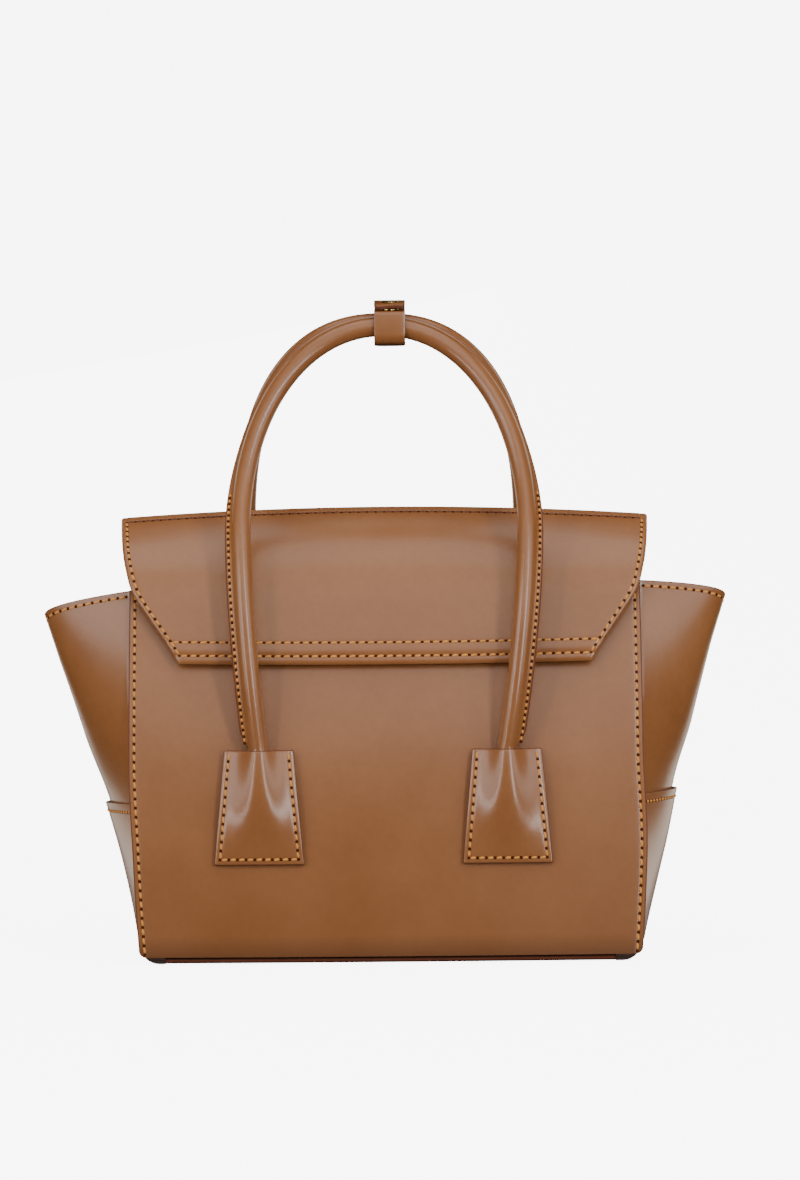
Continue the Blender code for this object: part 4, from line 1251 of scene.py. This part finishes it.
def tab_skin(face, side, across, z):
    """The outer face of a tab."""
    x = foot_x(side) + across
    edge = min(tab_half(z) - abs(across), z - TAB_BOTTOM)
    row = groove(edge, sizes().row_inset) + rolled(edge, FIT_GAP)
    y = half_depth(x, z) + 2 * FIT_GAP + LEATHER + tab_bump(across, z) - row
    return Vector((x, face * y, z))


class HANDBAG_OT_tabs(bpy.types.Operator):
    """Make the four sewn tabs that hold the handles"""

    bl_idname = "handbag.tabs"
    bl_label = "Handle Tabs"

    def execute(self, context):
        for label, face in (("front", -1), ("back", 1)):
            for side in (-1, 1):
                self.build_tab(label, face, side)
        return {"FINISHED"}

    def build_tab(self, label, face, side):
        """One tab and its three sewn rows."""
        name = label + "_tab_" + side_name(side)
        columns = edge_columns(30, TAB_STEPS)
        rows = [TAB_BOTTOM + up for up in TAB_STEPS]
        rows += skin_rows(TAB_BOTTOM + TAB_STEPS_END, TAB_TOP, TAB_STEP)

        def place(column, z):
            weight, offset = column
            return tab_skin(face, side, weight * tab_half(z) + offset, z)
        tab = skin_sheet(name + "_skin", columns, rows, place, LEATHER,
                         LEATHER_FINISH, "root", flip=face > 0)
        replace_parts(tab, name)
        inset = sizes().row_inset
        low = TAB_BOTTOM + inset
        turn = tab_half(low) - inset
        uprights = skin_rows(low, TAB_TOP - TAB_ROW_TOP, SHORT_ROUTE_STEP)
        outward = Vector((0, face, 0))
        pitch = sizes().stitch_pitch * TAB_PITCH_share

        def surface(across, z):
            return tab_skin(face, side, across, z)
        sewn = [(surface, [(end * (tab_half(z) - inset), z) for z in uprights], outward, pitch)
                for end in (-1, 1)]
        sewn.append((surface, [(x, low) for x in even_shares(9, -turn, turn)], outward, pitch))
        sew(name + "_thread", sewn, "root")


def handle_top(face):
    """Height of a handle's highest centre; the back handle stands a little above the front."""
    return HANDLE_TOP + (HANDLE_BACK_RISE if face > 0 else 0.0)


def handle_outline(face, side):
    """Spread and height of half a handle: a leg drawn in at its foot, then a rounded arch."""
    low = TAB_TOP + 2 * FIT_GAP
    points = []
    for share in even_shares(LEG_STATIONS_count)[:-1]:
        z = low + share * (HANDLE_SHOULDER - low)
        drawn = (HANDLE_HALF_SPREAD - abs(foot_x(side))) * (1 - share) ** HANDLE_DRAW_power
        points.append((side * (HANDLE_HALF_SPREAD - drawn), z))
    power = 2 / (FRONT_ARCH_power if face < 0 else BACK_ARCH_power)
    for share in even_shares(ARCH_STATIONS_count):
        turn = math.radians(90) * share
        x = HANDLE_HALF_SPREAD * max(math.cos(turn), 0.0) ** power
        z = HANDLE_SHOULDER + (handle_top(face) - HANDLE_SHOULDER) * math.sin(turn) ** power
        points.append((side * x, z))
    return points


def lean_at(face, share):
    """How far a handle leans out at a share of its height."""
    fine = smooth_points(HANDLE_LEAN_shares, 8 * len(HANDLE_LEAN_shares))
    for before, after in zip(fine, fine[1:]):
        if share <= after[0]:
            break
    part = (share - before[0]) / (after[0] - before[0])
    column = 1 if face < 0 else 2
    return before[column] + (after[column] - before[column]) * part


def handle_side(face, side):
    """Centres of half a handle, from its foot to its top."""
    foot = half_depth(foot_x(side), TAB_TOP) + 2 * FIT_GAP + HANDLE_RADIUS
    top = HANDLE_PAIR_GAP / 2 + HANDLE_RADIUS
    centres = []
    for x, z in handle_outline(face, side):
        lean = lean_at(face, (z - TAB_TOP) / (handle_top(face) - TAB_TOP))
        centres.append(Vector((x, face * (top + lean * (foot - top)), z)))
    return centres


def handle_route(face):
    """Centres of a whole handle from its left foot to its right foot."""
    return handle_side(face, -1) + handle_side(face, 1)[-2::-1]


def handle_stations(face):
    """Each ring's centre, its direction along the flange, and its cross direction."""
    route = handle_route(face)
    lean = math.radians(FRONT_FLANGE_TURN_DEG if face < 0 else BACK_FLANGE_TURN_DEG)
    stations = []
    for index, centre in enumerate(route):
        before = route[max(index - 2, 0)]
        after = route[min(index + 2, len(route) - 1)]
        run = (after - before).normalized()
        if index in (0, len(route) - 1):
            run = Vector((0, 0, 1 if index == 0 else -1))
        out = Vector((0, -1, 0)).cross(run).normalized()
        climb = (centre.z - FLANGE_TURN_START) / (FLANGE_TURN_END - FLANGE_TURN_START)
        turn = Matrix.Rotation(-lean * blend_share(climb), 3, run)
        stations.append((centre, turn @ out, turn @ run.cross(out)))
    return stations


def root_stations(face, side):
    """Ring centres of the flattened end under a tab, lowest first."""
    low = TAB_BOTTOM + (TAB_TOP - TAB_BOTTOM) * ROOT_LOW_share
    x = foot_x(side)
    found = []
    for z in even_shares(ROOT_STATIONS_count, low, TAB_TOP):
        thick = (bulge_height(z) - 2 * FIT_GAP) / 2
        y = face * (half_depth(x, z) + 2 * FIT_GAP + thick)
        found.append((z, Vector((x, y, z)), thick))
    return found


def handle_ring(climb):
    """One ring of the rolled leather with its sewn flange; climb is how far the flange is out."""
    half = HANDLE_FLANGE_THICKNESS / 2
    root = math.asin(half / HANDLE_RADIUS)
    tip = HANDLE_RADIUS + HANDLE_FLANGE * climb
    tip = max(tip, HANDLE_RADIUS * math.cos(root) + FIT_GAP)
    neck = HANDLE_RADIUS * math.cos(root)
    start = root * 1.35
    body = [(HANDLE_RADIUS * math.cos(a), HANDLE_RADIUS * math.sin(a))
            for a in even_shares(RING_SIDES_count + 1, start, 2 * math.pi - start)]
    flare = (tip - neck) / HANDLE_FLANGE
    pinch = FLANGE_PINCH * climb
    upper = [(neck + flare * 0.0009, half * 0.98), (neck + flare * 0.0014, half - pinch),
             (neck + flare * 0.0019, half - pinch), (tip - flare * 0.0007, half * 0.97),
             (tip - 0.00025 * climb, half * 0.80), (tip, half * 0.45),
             (tip - 0.00018 * climb, half * 0.06)]
    lower = [(a, -b) for a, b in reversed(upper)]
    return upper[::-1] + body + lower[::-1]


def tube_skin(rings, tip_columns):
    """A closed tube through rings of equal count; the columns by its seam are its painted tip."""
    count = len(rings[0])
    bm = bmesh.new()
    bmesh.ops.create_grid(bm, x_segments=count, y_segments=len(rings) - 1, size=1)
    for face in bm.faces:
        column = int((face.calc_center_median().x + 1) / 2 * count)
        face.material_index = int(min(column, count - 1 - column) < tip_columns)
    for vert in bm.verts:
        column = round((vert.co.x + 1) / 2 * count) % count
        row = round((vert.co.y + 1) / 2 * (len(rings) - 1))
        vert.co = rings[row][column]
    bmesh.ops.remove_doubles(bm, verts=bm.verts, dist=1e-6)
    bmesh.ops.holes_fill(bm, edges=[edge for edge in bm.edges if edge.is_boundary], sides=0)
    bmesh.ops.recalc_face_normals(bm, faces=bm.faces)
    return bm


class HANDBAG_OT_handles(bpy.types.Operator):
    """Make both rolled handles, each one piece from tab to tab, with their sewn flanges"""

    bl_idname = "handbag.handles"
    bl_label = "Handles"

    def execute(self, context):
        for label, face in (("front", -1), ("back", 1)):
            self.build_handle(label, face)
        return {"FINISHED"}

    def build_handle(self, label, face):
        """One handle and its thread; its feet sit in the tabs."""
        stations = handle_stations(face)
        rings = [self.root_ring(centre, z, thick, -1)
                 for z, centre, thick in root_stations(face, -1)[:-1]]
        for centre, out, across in stations:
            climb = blend_share((centre.z - stations[0][0].z) / FLANGE_FOOT)
            rings.append([centre + out * a + across * b for a, b in handle_ring(climb)])
        rings += [self.root_ring(centre, z, thick, 1)
                  for z, centre, thick in root_stations(face, 1)[:-1][::-1]]
        bm = tube_skin(rings, 3)
        handle = place_piece(label + "_handle_skin", bm, LEATHER_FINISH, None,
                             HANDLE_SMOOTH_DEG)
        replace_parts(handle, label + "_handle_wrap", label + "_handle_end_left",
                    label + "_handle_end_right")
        joint = ("root", label + "_handle", (0, 0, TAB_TOP - FOLD_BELOW),
                 (0, 0, TAB_TOP + FOLD_ABOVE))
        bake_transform(handle)
        self.sew_flange(label, stations, joint)

    def root_ring(self, centre, z, thick, side):
        """A flattened ring under the tab, with as many corners as the rings above."""
        wide = root_half_width(z) / HANDLE_RADIUS
        out = Vector((side, 0, 0))
        across = Vector((0, 0, -side)).cross(out)
        return [centre + out * (a * wide) + across * (b * thick / HANDLE_RADIUS)
                for a, b in handle_ring(0.0)]

    def sew_flange(self, label, stations, joint):
        """A row of stitches on each face of the flange, up each leg to where it turns in."""
        reach = HANDLE_RADIUS + HANDLE_FLANGE - FLANGE_ROW
        half = HANDLE_FLANGE_THICKNESS / 2 - FLANGE_ROW_SINK
        last = len(stations) - 1

        def surface_on(sign):
            def surface(along, off):
                index = min(max(int(along), 0), last - 1)
                share = along - index
                (c0, o0, a0), (c1, o1, a1) = stations[index], stations[index + 1]
                centre, out, across = c0.lerp(c1, share), o0.lerp(o1, share), a0.lerp(a1, share)
                return centre + out * (reach + off) + across * (sign * half)
            return surface
        sewn = []
        heights = [station[0].z for station in stations]
        start = next(i for i, z in enumerate(heights) if z > TAB_TOP + FLANGE_SEWN_FOOT)
        end = next(i for i, z in enumerate(heights) if z > FLANGE_SEWN_TOP)
        for sign in (-1, 1):
            surface = surface_on(sign)
            for first, final in ((start, end), (last - start, last - end)):
                route = [(along, 0.0) for along in even_shares(40, first, final)]
                sewn.append((surface, route, stations[0][2] * sign, sizes().fine_pitch))
        sew(label + "_handle_thread", sewn, None, blend=joint, slant=FLANGE_SLANT_DEG)


def keeper_box():
    """The keeper strap's outer limits: front, back, bottom, and top over the front handle."""
    reach = HANDLE_PAIR_GAP / 2 + 2 * HANDLE_RADIUS + KEEPER_STRAP
    low = HANDLE_TOP - HANDLE_RADIUS - KEEPER_CLEARANCE - KEEPER_STRAP
    high = HANDLE_TOP + HANDLE_RADIUS + KEEPER_TOP_GAP + KEEPER_STRAP
    return -reach - KEEPER_SIDE_GAP, reach + KEEPER_BACK_GAP, low, high


def keeper_slope(y, z):
    """A keeper height once its top slopes up to the back handle."""
    front, back, low, high = keeper_box()
    return z + KEEPER_RISE * (y - front) / (back - front) * min((z - low) / (high - low), 1.0)


def keeper_route():
    """The strap's outer face: back over the top layer, down the front, under and up the back."""
    front, back, low, high = keeper_box()
    radii = (KEEPER_STRAP + FIT_GAP, KEEPER_CORNER, KEEPER_CORNER)
    corners = ((front, high, 90), (front, low, 180), (back, low, 270))
    inner = back - 2 * KEEPER_STRAP - FIT_GAP
    points = [(y, high) for y in even_shares(6, inner, front + KEEPER_START)]
    for (y, z, start), radius in zip(corners, radii):
        middle_y = y + math.copysign(radius, -y)
        middle_z = z - radius if start == 90 else z + radius
        for turn in even_shares(8, start, start + 90):
            angle = math.radians(turn)
            points.append((middle_y + radius * math.cos(angle),
                           middle_z + radius * math.sin(angle)))
    top = high + KEEPER_LAYER_GAP - FIT_GAP
    return points + [(back, z) for z in even_shares(6, low + KEEPER_CORNER + KEEPER_END, top)]


def turned(name, profile, centre, slope, body):
    """A brass ring or disc turned from a profile of radius and height, then leaned by a slope."""
    bm = bmesh.new()
    verts = [bm.verts.new((radius, 0, z)) for radius, z in profile]
    edges = [bm.edges.new((first, second)) for first, second in zip(verts, verts[1:] + verts[:1])]
    bmesh.ops.spin(bm, geom=verts + edges, cent=(0, 0, 0), axis=(0, 0, 1), steps=TURNED_SIDES_count,
                   angle=math.radians(360), use_merge=True)
    bmesh.ops.remove_doubles(bm, verts=bm.verts, dist=1e-6)
    bmesh.ops.recalc_face_normals(bm, faces=bm.faces)
    bmesh.ops.rotate(bm, cent=(0, 0, 0), matrix=Matrix.Rotation(slope, 3, "X"), verts=bm.verts)
    bmesh.ops.translate(bm, vec=centre, verts=bm.verts)
    return place_piece(name, bm, ("brass",), body)


class HANDBAG_OT_keeper(bpy.types.Operator):
    """Make the strap round both handles, its tongue and the brass snap"""

    bl_idname = "handbag.keeper"
    bl_label = "Keeper"

    def execute(self, context):
        route = keeper_route()
        front, back, low, high = keeper_box()
        centre_y, centre_z = (front + back) / 2, (low + high) / 2

        def place(across, step):
            y, z = route[step]
            crown = 1 - KEEPER_CROWN * across ** 6
            y, z = centre_y + (y - centre_y) * crown, centre_z + (z - centre_z) * crown
            return Vector((KEEPER_OFFSET + across * KEEPER_WIDTH / 2, y, keeper_slope(y, z)))
        strap = skin_sheet("keeper_strap_skin", KEEPER_COLUMNS, range(len(route)), place,
                           KEEPER_STRAP, LEATHER_FINISH, "front_handle", flip=True)
        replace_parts(strap, "keeper_strap")
        self.build_tongue()
        self.build_snap()
        return {"FINISHED"}

    def build_tongue(self):
        """The strap's free end, which lies over the snap."""
        low, high = corner("keeper_tab", 0), corner("keeper_tab", 1)
        middle = (high.y + low.y) / 2
        reach = (high.y - low.y) / 2
        thick = high.z - low.z - KEEPER_RISE
        top = keeper_box()[3] + KEEPER_LAYER_GAP + thick

        def place(across, along):
            nose = max(-along - TONGUE_NOSE_share, 0.0) / (1 - TONGUE_NOSE_share)
            half = KEEPER_WIDTH / 2 * (1 - TONGUE_TAPER * nose * nose)
            curl = TONGUE_CURL * math.sin(across * 2.2 + 0.6) * (1 - along) / 2
            y = middle + along * reach
            z = keeper_slope(y, top) + curl - TONGUE_DROOP * nose * nose
            return Vector((KEEPER_OFFSET + across * half, y, z))
        rows = even_shares(17, -1.0, 0.6) + even_shares(15, 0.6)[1:]
        tongue = skin_sheet("keeper_tongue_skin", even_shares(17, -1.0), rows, place, thick,
                            LEATHER_FINISH, None)
        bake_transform(tongue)
        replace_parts(tongue, "keeper_tab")

    def build_snap(self):
        """The stud, the socket and the domed cap of the snap."""
        slope = math.atan(KEEPER_RISE / (keeper_box()[1] - keeper_box()[0]))
        for node, body, profile in (
                ("keeper_snap_stud", "front_handle", self.stud_profile),
                ("keeper_snap_socket", "keeper_tab", self.socket_profile),
                ("keeper_snap_cap", "keeper_tab", self.cap_profile)):
            low, high = corner(node, 0), corner(node, 1)
            radius = (high.x - low.x) / 2
            lift = radius * math.tan(slope)
            centre = ((low.x + high.x) / 2, (low.y + high.y) / 2, low.z + lift)
            tall = high.z - low.z - 2 * lift
            piece = turned(node + "_turned", profile(radius, tall), centre, slope, body)
            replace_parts(piece, node)

    def stud_profile(self, radius, tall):
        """A flat base with a waisted post."""
        post, flat = SNAP_POST, SNAP_FLAT
        return [(0, 0), (radius * 0.97, 0), (radius, flat * 0.24), (radius, flat * 0.76),
                (radius * 0.94, flat), (post * 1.25, flat), (post * 0.92, flat * 1.6),
                (post * 0.90, tall * 0.6), (post, tall * 0.78), (post * 0.9, tall * 0.93),
                (post * 0.6, tall), (0, tall)]

    def socket_profile(self, radius, tall):
        """A ring whose hole takes the post."""
        hole = SNAP_HOLE
        return [(hole, SNAP_CHAMFER), (hole * 1.15, 0), (radius * 0.96, 0),
                (radius, SNAP_CHAMFER), (radius, tall * 0.7), (radius * 0.94, tall),
                (hole * 1.1, tall), (hole, tall * 0.7)]

    def cap_profile(self, radius, tall):
        """A low dome."""
        shares = ((0, 0), (0.96, 0), (1.0, 0.15), (0.985, 0.38), (0.90, 0.62), (0.70, 0.85),
                  (0.40, 0.97), (0, 1.0))
        return [(radius * out, tall * up) for out, up in shares]


def lining_margin():
    """How far the linings stay inside the panel's edge."""
    return GUSSET_SETBACK + FLANGE + 2 * FIT_GAP


def run_length(points):
    """Length of a line through points."""
    return sum((after - before).length for before, after in zip(points, points[1:]))


def cut_cloth(columns, rows, place):
    """Work out a lining's width and length over its grid; nothing uses them."""
    width = max(run_length([place(column, row) for column in columns]) for row in rows)
    length = max(run_length([place(column, row) for row in rows]) for column in columns)


class HANDBAG_OT_linings(bpy.types.Operator):
    """Make the suede inside the bag"""

    bl_idname = "handbag.linings"
    bl_label = "Linings"

    def execute(self, context):
        for name, face in (("lining_front", -1), ("lining_back", 1)):
            self.build_wall(name, face)
        for side in (-1, 1):
            self.build_side(side)
        low, high = corner("lining_base", 0), corner("lining_base", 1)

        def place(across, along):
            return Vector((across * high.x, along * high.y, high.z))
        floor = skin_sheet("lining_base_skin", even_shares(41, -1.0), even_shares(21, -1.0), place,
                           high.z - low.z, LINING_FINISH, "root")
        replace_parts(floor, "lining_base")
        return {"FINISHED"}

    def build_wall(self, name, face):
        """The lining of the front or back wall."""
        low, high = corner(name, 0).z, corner(name, 1).z

        def place(across, z):
            x = across * (panel_half(z) - lining_margin())
            return settle(Vector((x, face * (half_depth(x, z) - LINING_INSET), z)))
        columns, rows = even_shares(49, -1.0), even_shares(41, low, high)
        wall = skin_sheet(name + "_skin", columns, rows, place, LINING, LINING_FINISH, "root",
                          flip=face > 0)
        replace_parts(wall, name)
        cut_cloth(columns, rows, place)

    def build_side(self, side):
        """The lining that follows a gusset inside."""
        inset = 2 * LAP + FIT_GAP
        low = GUSSET_CORNER + FLANGE
        top = MOUTH_HEIGHT - WING_DROP - FLANGE / 2

        def place(across, z):
            return settle(gusset_point(side, across, gusset_share(z), inset))
        name = "lining_" + side_name(side)
        columns = even_shares(33, -SIDE_LINING_share, SIDE_LINING_share)
        rows = even_shares(41, low, top)
        wall = skin_sheet(name + "_skin", columns, rows, place, LINING, LINING_FINISH, "root",
                          flip=side < 0)
        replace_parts(wall, name)
        cut_cloth(columns, rows, place)


STAYING = {
    "front_stiffener": "fibre_board", "back_stiffener": "fibre_board", "base_board": "fibre_board",
    "front_handle_core": "cotton_cord", "back_handle_core": "cotton_cord",
    "panel_magnet_left": "plated_magnet", "panel_magnet_right": "plated_magnet",
    "flap_magnet_left": "plated_magnet", "flap_magnet_right": "plated_magnet",
    "pocket_zip_frame": "saddle_leather",
}


def pocket_plane():
    """The pocket's own plane: X along the bag, Y up its back wall and Z into the bag."""
    inset = LAP + STIFFENER + FIT_GAP + LINING
    half = ZIP_FRAME_HEIGHT / 2
    rise = half_depth(0, ZIP_HEIGHT + half) - half_depth(0, ZIP_HEIGHT - half)
    up = Vector((0, rise, ZIP_FRAME_HEIGHT)).normalized()
    inward = Vector((1, 0, 0)).cross(up)
    centre = Vector((0, half_depth(0, ZIP_HEIGHT) - inset, ZIP_HEIGHT))
    centre += inward * (ZIP_STANDOFF + FIT_GAP)
    turned_up = Matrix((Vector((1, 0, 0)), up, inward)).transposed()
    return Matrix.Translation(centre) @ turned_up.to_4x4()


def add_block(bm, size, middle, rounding=0.0):
    """Add a block with rounded edges to a mesh, and return its faces."""
    made = bmesh.ops.create_cube(bm, size=1)["verts"]
    bmesh.ops.scale(bm, vec=size, verts=made)
    bmesh.ops.translate(bm, vec=middle, verts=made)
    faces = list({face for vert in made for face in vert.link_faces})
    if rounding:
        edges = list({edge for vert in made for edge in vert.link_edges})
        faces = bmesh.ops.bevel(bm, geom=edges, offset=rounding, offset_type="OFFSET",
                                affect="EDGES", segments=2, profile=0.5, material=-1)["faces"]
    return faces


class HANDBAG_OT_pocket_zip(bpy.types.Operator):
    """Make the inside pocket's tape, teeth, slider and puller, and sew its frame"""

    bl_idname = "handbag.pocket_zip"
    bl_label = "Pocket Zip"

    def execute(self, context):
        plane = pocket_plane()
        self.build_teeth(plane)
        bm = bmesh.new()
        lift = ZIP_FRAME + FIT_GAP + SLIDER_THICKNESS / 2
        add_block(bm, (SLIDER_LENGTH, SLIDER_HEIGHT, SLIDER_THICKNESS), (0, 0, lift),
                  SLIDER_THICKNESS * 0.35)
        bm.transform(plane)
        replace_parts(place_piece("pocket_slider", bm, ("brass",), "zip_slider"),
                    "pocket_zip_slider")
        self.build_puller(plane)
        self.sew_frame(plane)
        return {"FINISHED"}

    def build_teeth(self, plane):
        """The closed zip: a cloth tape, and teeth that reach over its middle from both sides."""
        bm = bmesh.new()
        length = ZIP_LENGTH - 2 * ZIP_BORDER - 2 * FIT_GAP
        thin = ZIP_FRAME * ZIP_TAPE_share
        add_block(bm, (length, ZIP_WINDOW_HEIGHT - 2 * FIT_GAP, thin), (0, 0, thin / 2))
        tall = ZIP_FRAME - thin - FIT_GAP / 3
        count = int(length / TOOTH_PITCH) - 1
        for index in range(count):
            x = (index - (count - 1) / 2) * TOOTH_PITCH
            side = TOOTH_LENGTH / 4 if index % 2 else -TOOTH_LENGTH / 4
            for face in add_block(bm, (TOOTH_PITCH * 0.7, TOOTH_LENGTH, tall),
                                  (x, side, ZIP_FRAME - tall / 2)):
                face.material_index = 1
        bm.transform(plane)
        teeth = place_piece("pocket_teeth", bm, ("zip_tape", "brass"), "root")
        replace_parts(teeth, "pocket_zip_tape")

    def build_puller(self, plane):
        """A flat puller with an eye at its top, hung from the slider."""
        lift = ZIP_FRAME + FIT_GAP + SLIDER_THICKNESS + FIT_GAP + PULLER_THICKNESS / 2
        hinge = plane @ Vector((0, 0, lift))
        half = PULLER_WIDTH / 2
        columns = (-half, PULLER_BAR - half, half - PULLER_BAR, half)
        rows = (-PULLER_LENGTH, -PULLER_EYE, -PULLER_BAR, 0.0)

        def place(x, z):
            return hinge + Vector((x, -PULLER_THICKNESS / 2, z))
        puller = skin_sheet("pocket_puller", columns, rows, place, PULLER_THICKNESS,
                            ("brass", "brass"), "zip_puller")
        bm = bmesh.new()
        bm.from_mesh(puller.data)
        eye = hinge.z - (PULLER_EYE + PULLER_BAR) / 2
        gone = min(bm.faces, key=lambda face: abs(face.calc_center_median().x)
                   + abs(face.calc_center_median().z - eye))
        bmesh.ops.delete(bm, geom=[gone], context="FACES_ONLY")
        bm.to_mesh(puller.data)
        bm.free()
        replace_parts(puller, "pocket_zip_puller")

    def sew_frame(self, plane):
        """A row of stitches round the leather frame."""
        inset = sizes().row_inset
        x = ZIP_LENGTH / 2 - inset
        y = ZIP_WINDOW_HEIGHT / 2 + ZIP_BORDER - inset

        def surface(across, up):
            return plane @ Vector((across, up, ZIP_FRAME))
        corners = ((-x, -y), (x, -y), (x, y), (-x, y), (-x, -y))
        sewn = [(surface, [first, last], plane.to_3x3() @ Vector((0, 0, 1)), sizes().stitch_pitch)
                for first, last in zip(corners, corners[1:])]
        sew("pocket_frame_thread", sewn, "root")


class HANDBAG_OT_inner_parts(bpy.types.Operator):
    """Give the boards, cords and magnets that stay their own finishes"""

    bl_idname = "handbag.inner_parts"
    bl_label = "Inner Parts"

    def execute(self, context):
        for node, material in STAYING.items():
            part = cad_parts[node]
            part = bpy.data.objects[part] if isinstance(part, str) else part
            part.data.materials.clear()
            part.data.materials.append(finish(material))
        return {"FINISHED"}


def area_light(name, place, aim, width, height, power, colour):
    """A rectangular soft light that looks at a point."""
    data = bpy.data.lights.new(name, "AREA")
    data.shape = "RECTANGLE"
    data.size = width
    data.size_y = height
    data.energy = power
    data.color = colour
    light = bpy.data.objects.new(name, data)
    light.location = place
    light.rotation_euler = (Vector(aim) - Vector(place)).to_track_quat("-Z", "Y").to_euler()
    bpy.context.collection.objects.link(light)
    return light


class HANDBAG_OT_studio(bpy.types.Operator):
    """Make the pale floor and wall, the soft lights and the camera"""

    bl_idname = "handbag.studio"
    bl_label = "Studio"

    def execute(self, context):
        self.build_cove()
        for name, place, width, height, power, colour in LIGHTS:
            light = area_light(name, place, LIGHTS_AIM, width, height, power, colour)
            light.visible_glossy = name != "back_fill"
        world = bpy.data.worlds.new("studio_air")
        context.scene.world = world
        world.use_nodes = True
        background = world.node_tree.nodes["Background"]
        background.inputs["Color"].default_value = (*WHITE, 1)
        background.inputs["Strength"].default_value = ROOM_LIGHT
        world.cycles_visibility.glossy = False
        self.build_camera(context)
        return {"FINISHED"}

    def build_cove(self):
        """A floor that curves up into a wall behind the bag."""
        bm = bmesh.new()
        bmesh.ops.create_grid(bm, x_segments=4, y_segments=48, size=1)
        flat = COVE_FRONT + COVE_BACK - COVE_BEND
        turn = COVE_BEND * math.pi / 2
        whole = flat + turn + COVE_TOP - COVE_BEND
        for vert in bm.verts:
            along = (vert.co.y + 1) / 2 * whole
            x = vert.co.x * COVE_HALF_WIDTH
            if along < flat:
                vert.co = (x, along - COVE_FRONT, 0)
            elif along < flat + turn:
                angle = (along - flat) / COVE_BEND
                y = flat - COVE_FRONT + COVE_BEND * math.sin(angle)
                vert.co = (x, y, COVE_BEND * (1 - math.cos(angle)))
            else:
                vert.co = (x, COVE_BACK, along - flat - turn + COVE_BEND)
        mesh = bpy.data.meshes.new("studio_cove")
        bm.to_mesh(mesh)
        bm.free()
        mesh.shade_smooth()
        cove = bpy.data.objects.new("studio_cove", mesh)
        bpy.context.collection.objects.link(cove)
        cove.visible_diffuse = False
        cove.visible_glossy = False
        material, shader, link = new_material("studio_paper", 0.9, Specular_IOR_Level=0.0,
                                              Emission_Color=(*WHITE, 1),
                                              Emission_Strength=PAPER_GLOW)
        place = object_place(link)
        tone = colours().floor
        soft = tuple(channel * 0.985 for channel in tone)
        feed(link, shader, "Base Color", mix(link, noise_at(link, place, 0.5), soft, tone))
        mesh.materials.append(material)

    def build_camera(self, context):
        """The photograph's view: level with the middle of the bag, from two metres."""
        data = bpy.data.cameras.new("front_view")
        data.sensor_fit = "AUTO"
        data.sensor_width = 36
        data.lens = CAMERA_LENS
        data.clip_start = 0.1
        camera = bpy.data.objects.new("front_view", data)
        camera.location = CAMERA_PLACE
        level = Matrix.Rotation(math.radians(90), 4, "X")
        roll = Matrix.Rotation(math.radians(CAMERA_ROLL_DEG), 4, "Y")
        camera.rotation_euler = (roll @ level).to_euler()
        context.collection.objects.link(camera)
        context.scene.camera = camera


class HANDBAG_PT_sidebar(bpy.types.Panel):
    """The bag's sizes, colours and pieces"""

    bl_idname = "HANDBAG_PT_sidebar"
    bl_label = "Handbag"
    bl_space_type = "VIEW_3D"
    bl_region_type = "UI"
    bl_category = "Handbag"

    def draw(self, context):
        column = self.layout.column()
        for group in (context.scene.bag_sizes, context.scene.bag_colours):
            for name in group.bl_rna.properties.keys():
                if name not in ("rna_type", "name"):
                    column.prop(group, name)
        for operator in OPERATORS:
            column.operator(operator.bl_idname)


OPERATORS = (
    HANDBAG_OT_studio, HANDBAG_OT_front_panel, HANDBAG_OT_back_panel, HANDBAG_OT_gussets,
    HANDBAG_OT_base, HANDBAG_OT_flap, HANDBAG_OT_tabs, HANDBAG_OT_handles, HANDBAG_OT_keeper,
    HANDBAG_OT_linings, HANDBAG_OT_pocket_zip, HANDBAG_OT_inner_parts,
)
CLASSES = (BagSizes, BagColours, *OPERATORS, HANDBAG_PT_sidebar)


def register():
    """Register the classes and hang the properties on the scene."""
    for cls in CLASSES:
        bpy.utils.register_class(cls)
    bpy.types.Scene.bag_sizes = bpy.props.PointerProperty(type=BagSizes)
    bpy.types.Scene.bag_colours = bpy.props.PointerProperty(type=BagColours)


def unregister():
    """Take the properties and the classes away again."""
    del bpy.types.Scene.bag_colours
    del bpy.types.Scene.bag_sizes
    for cls in reversed(CLASSES):
        bpy.utils.unregister_class(cls)


def main():
    """Make every piece in order."""
    register()
    for operator in OPERATORS:
        module, name = operator.bl_idname.split(".")
        getattr(getattr(bpy.ops, module), name)()


if __name__ == "__main__":
    main()
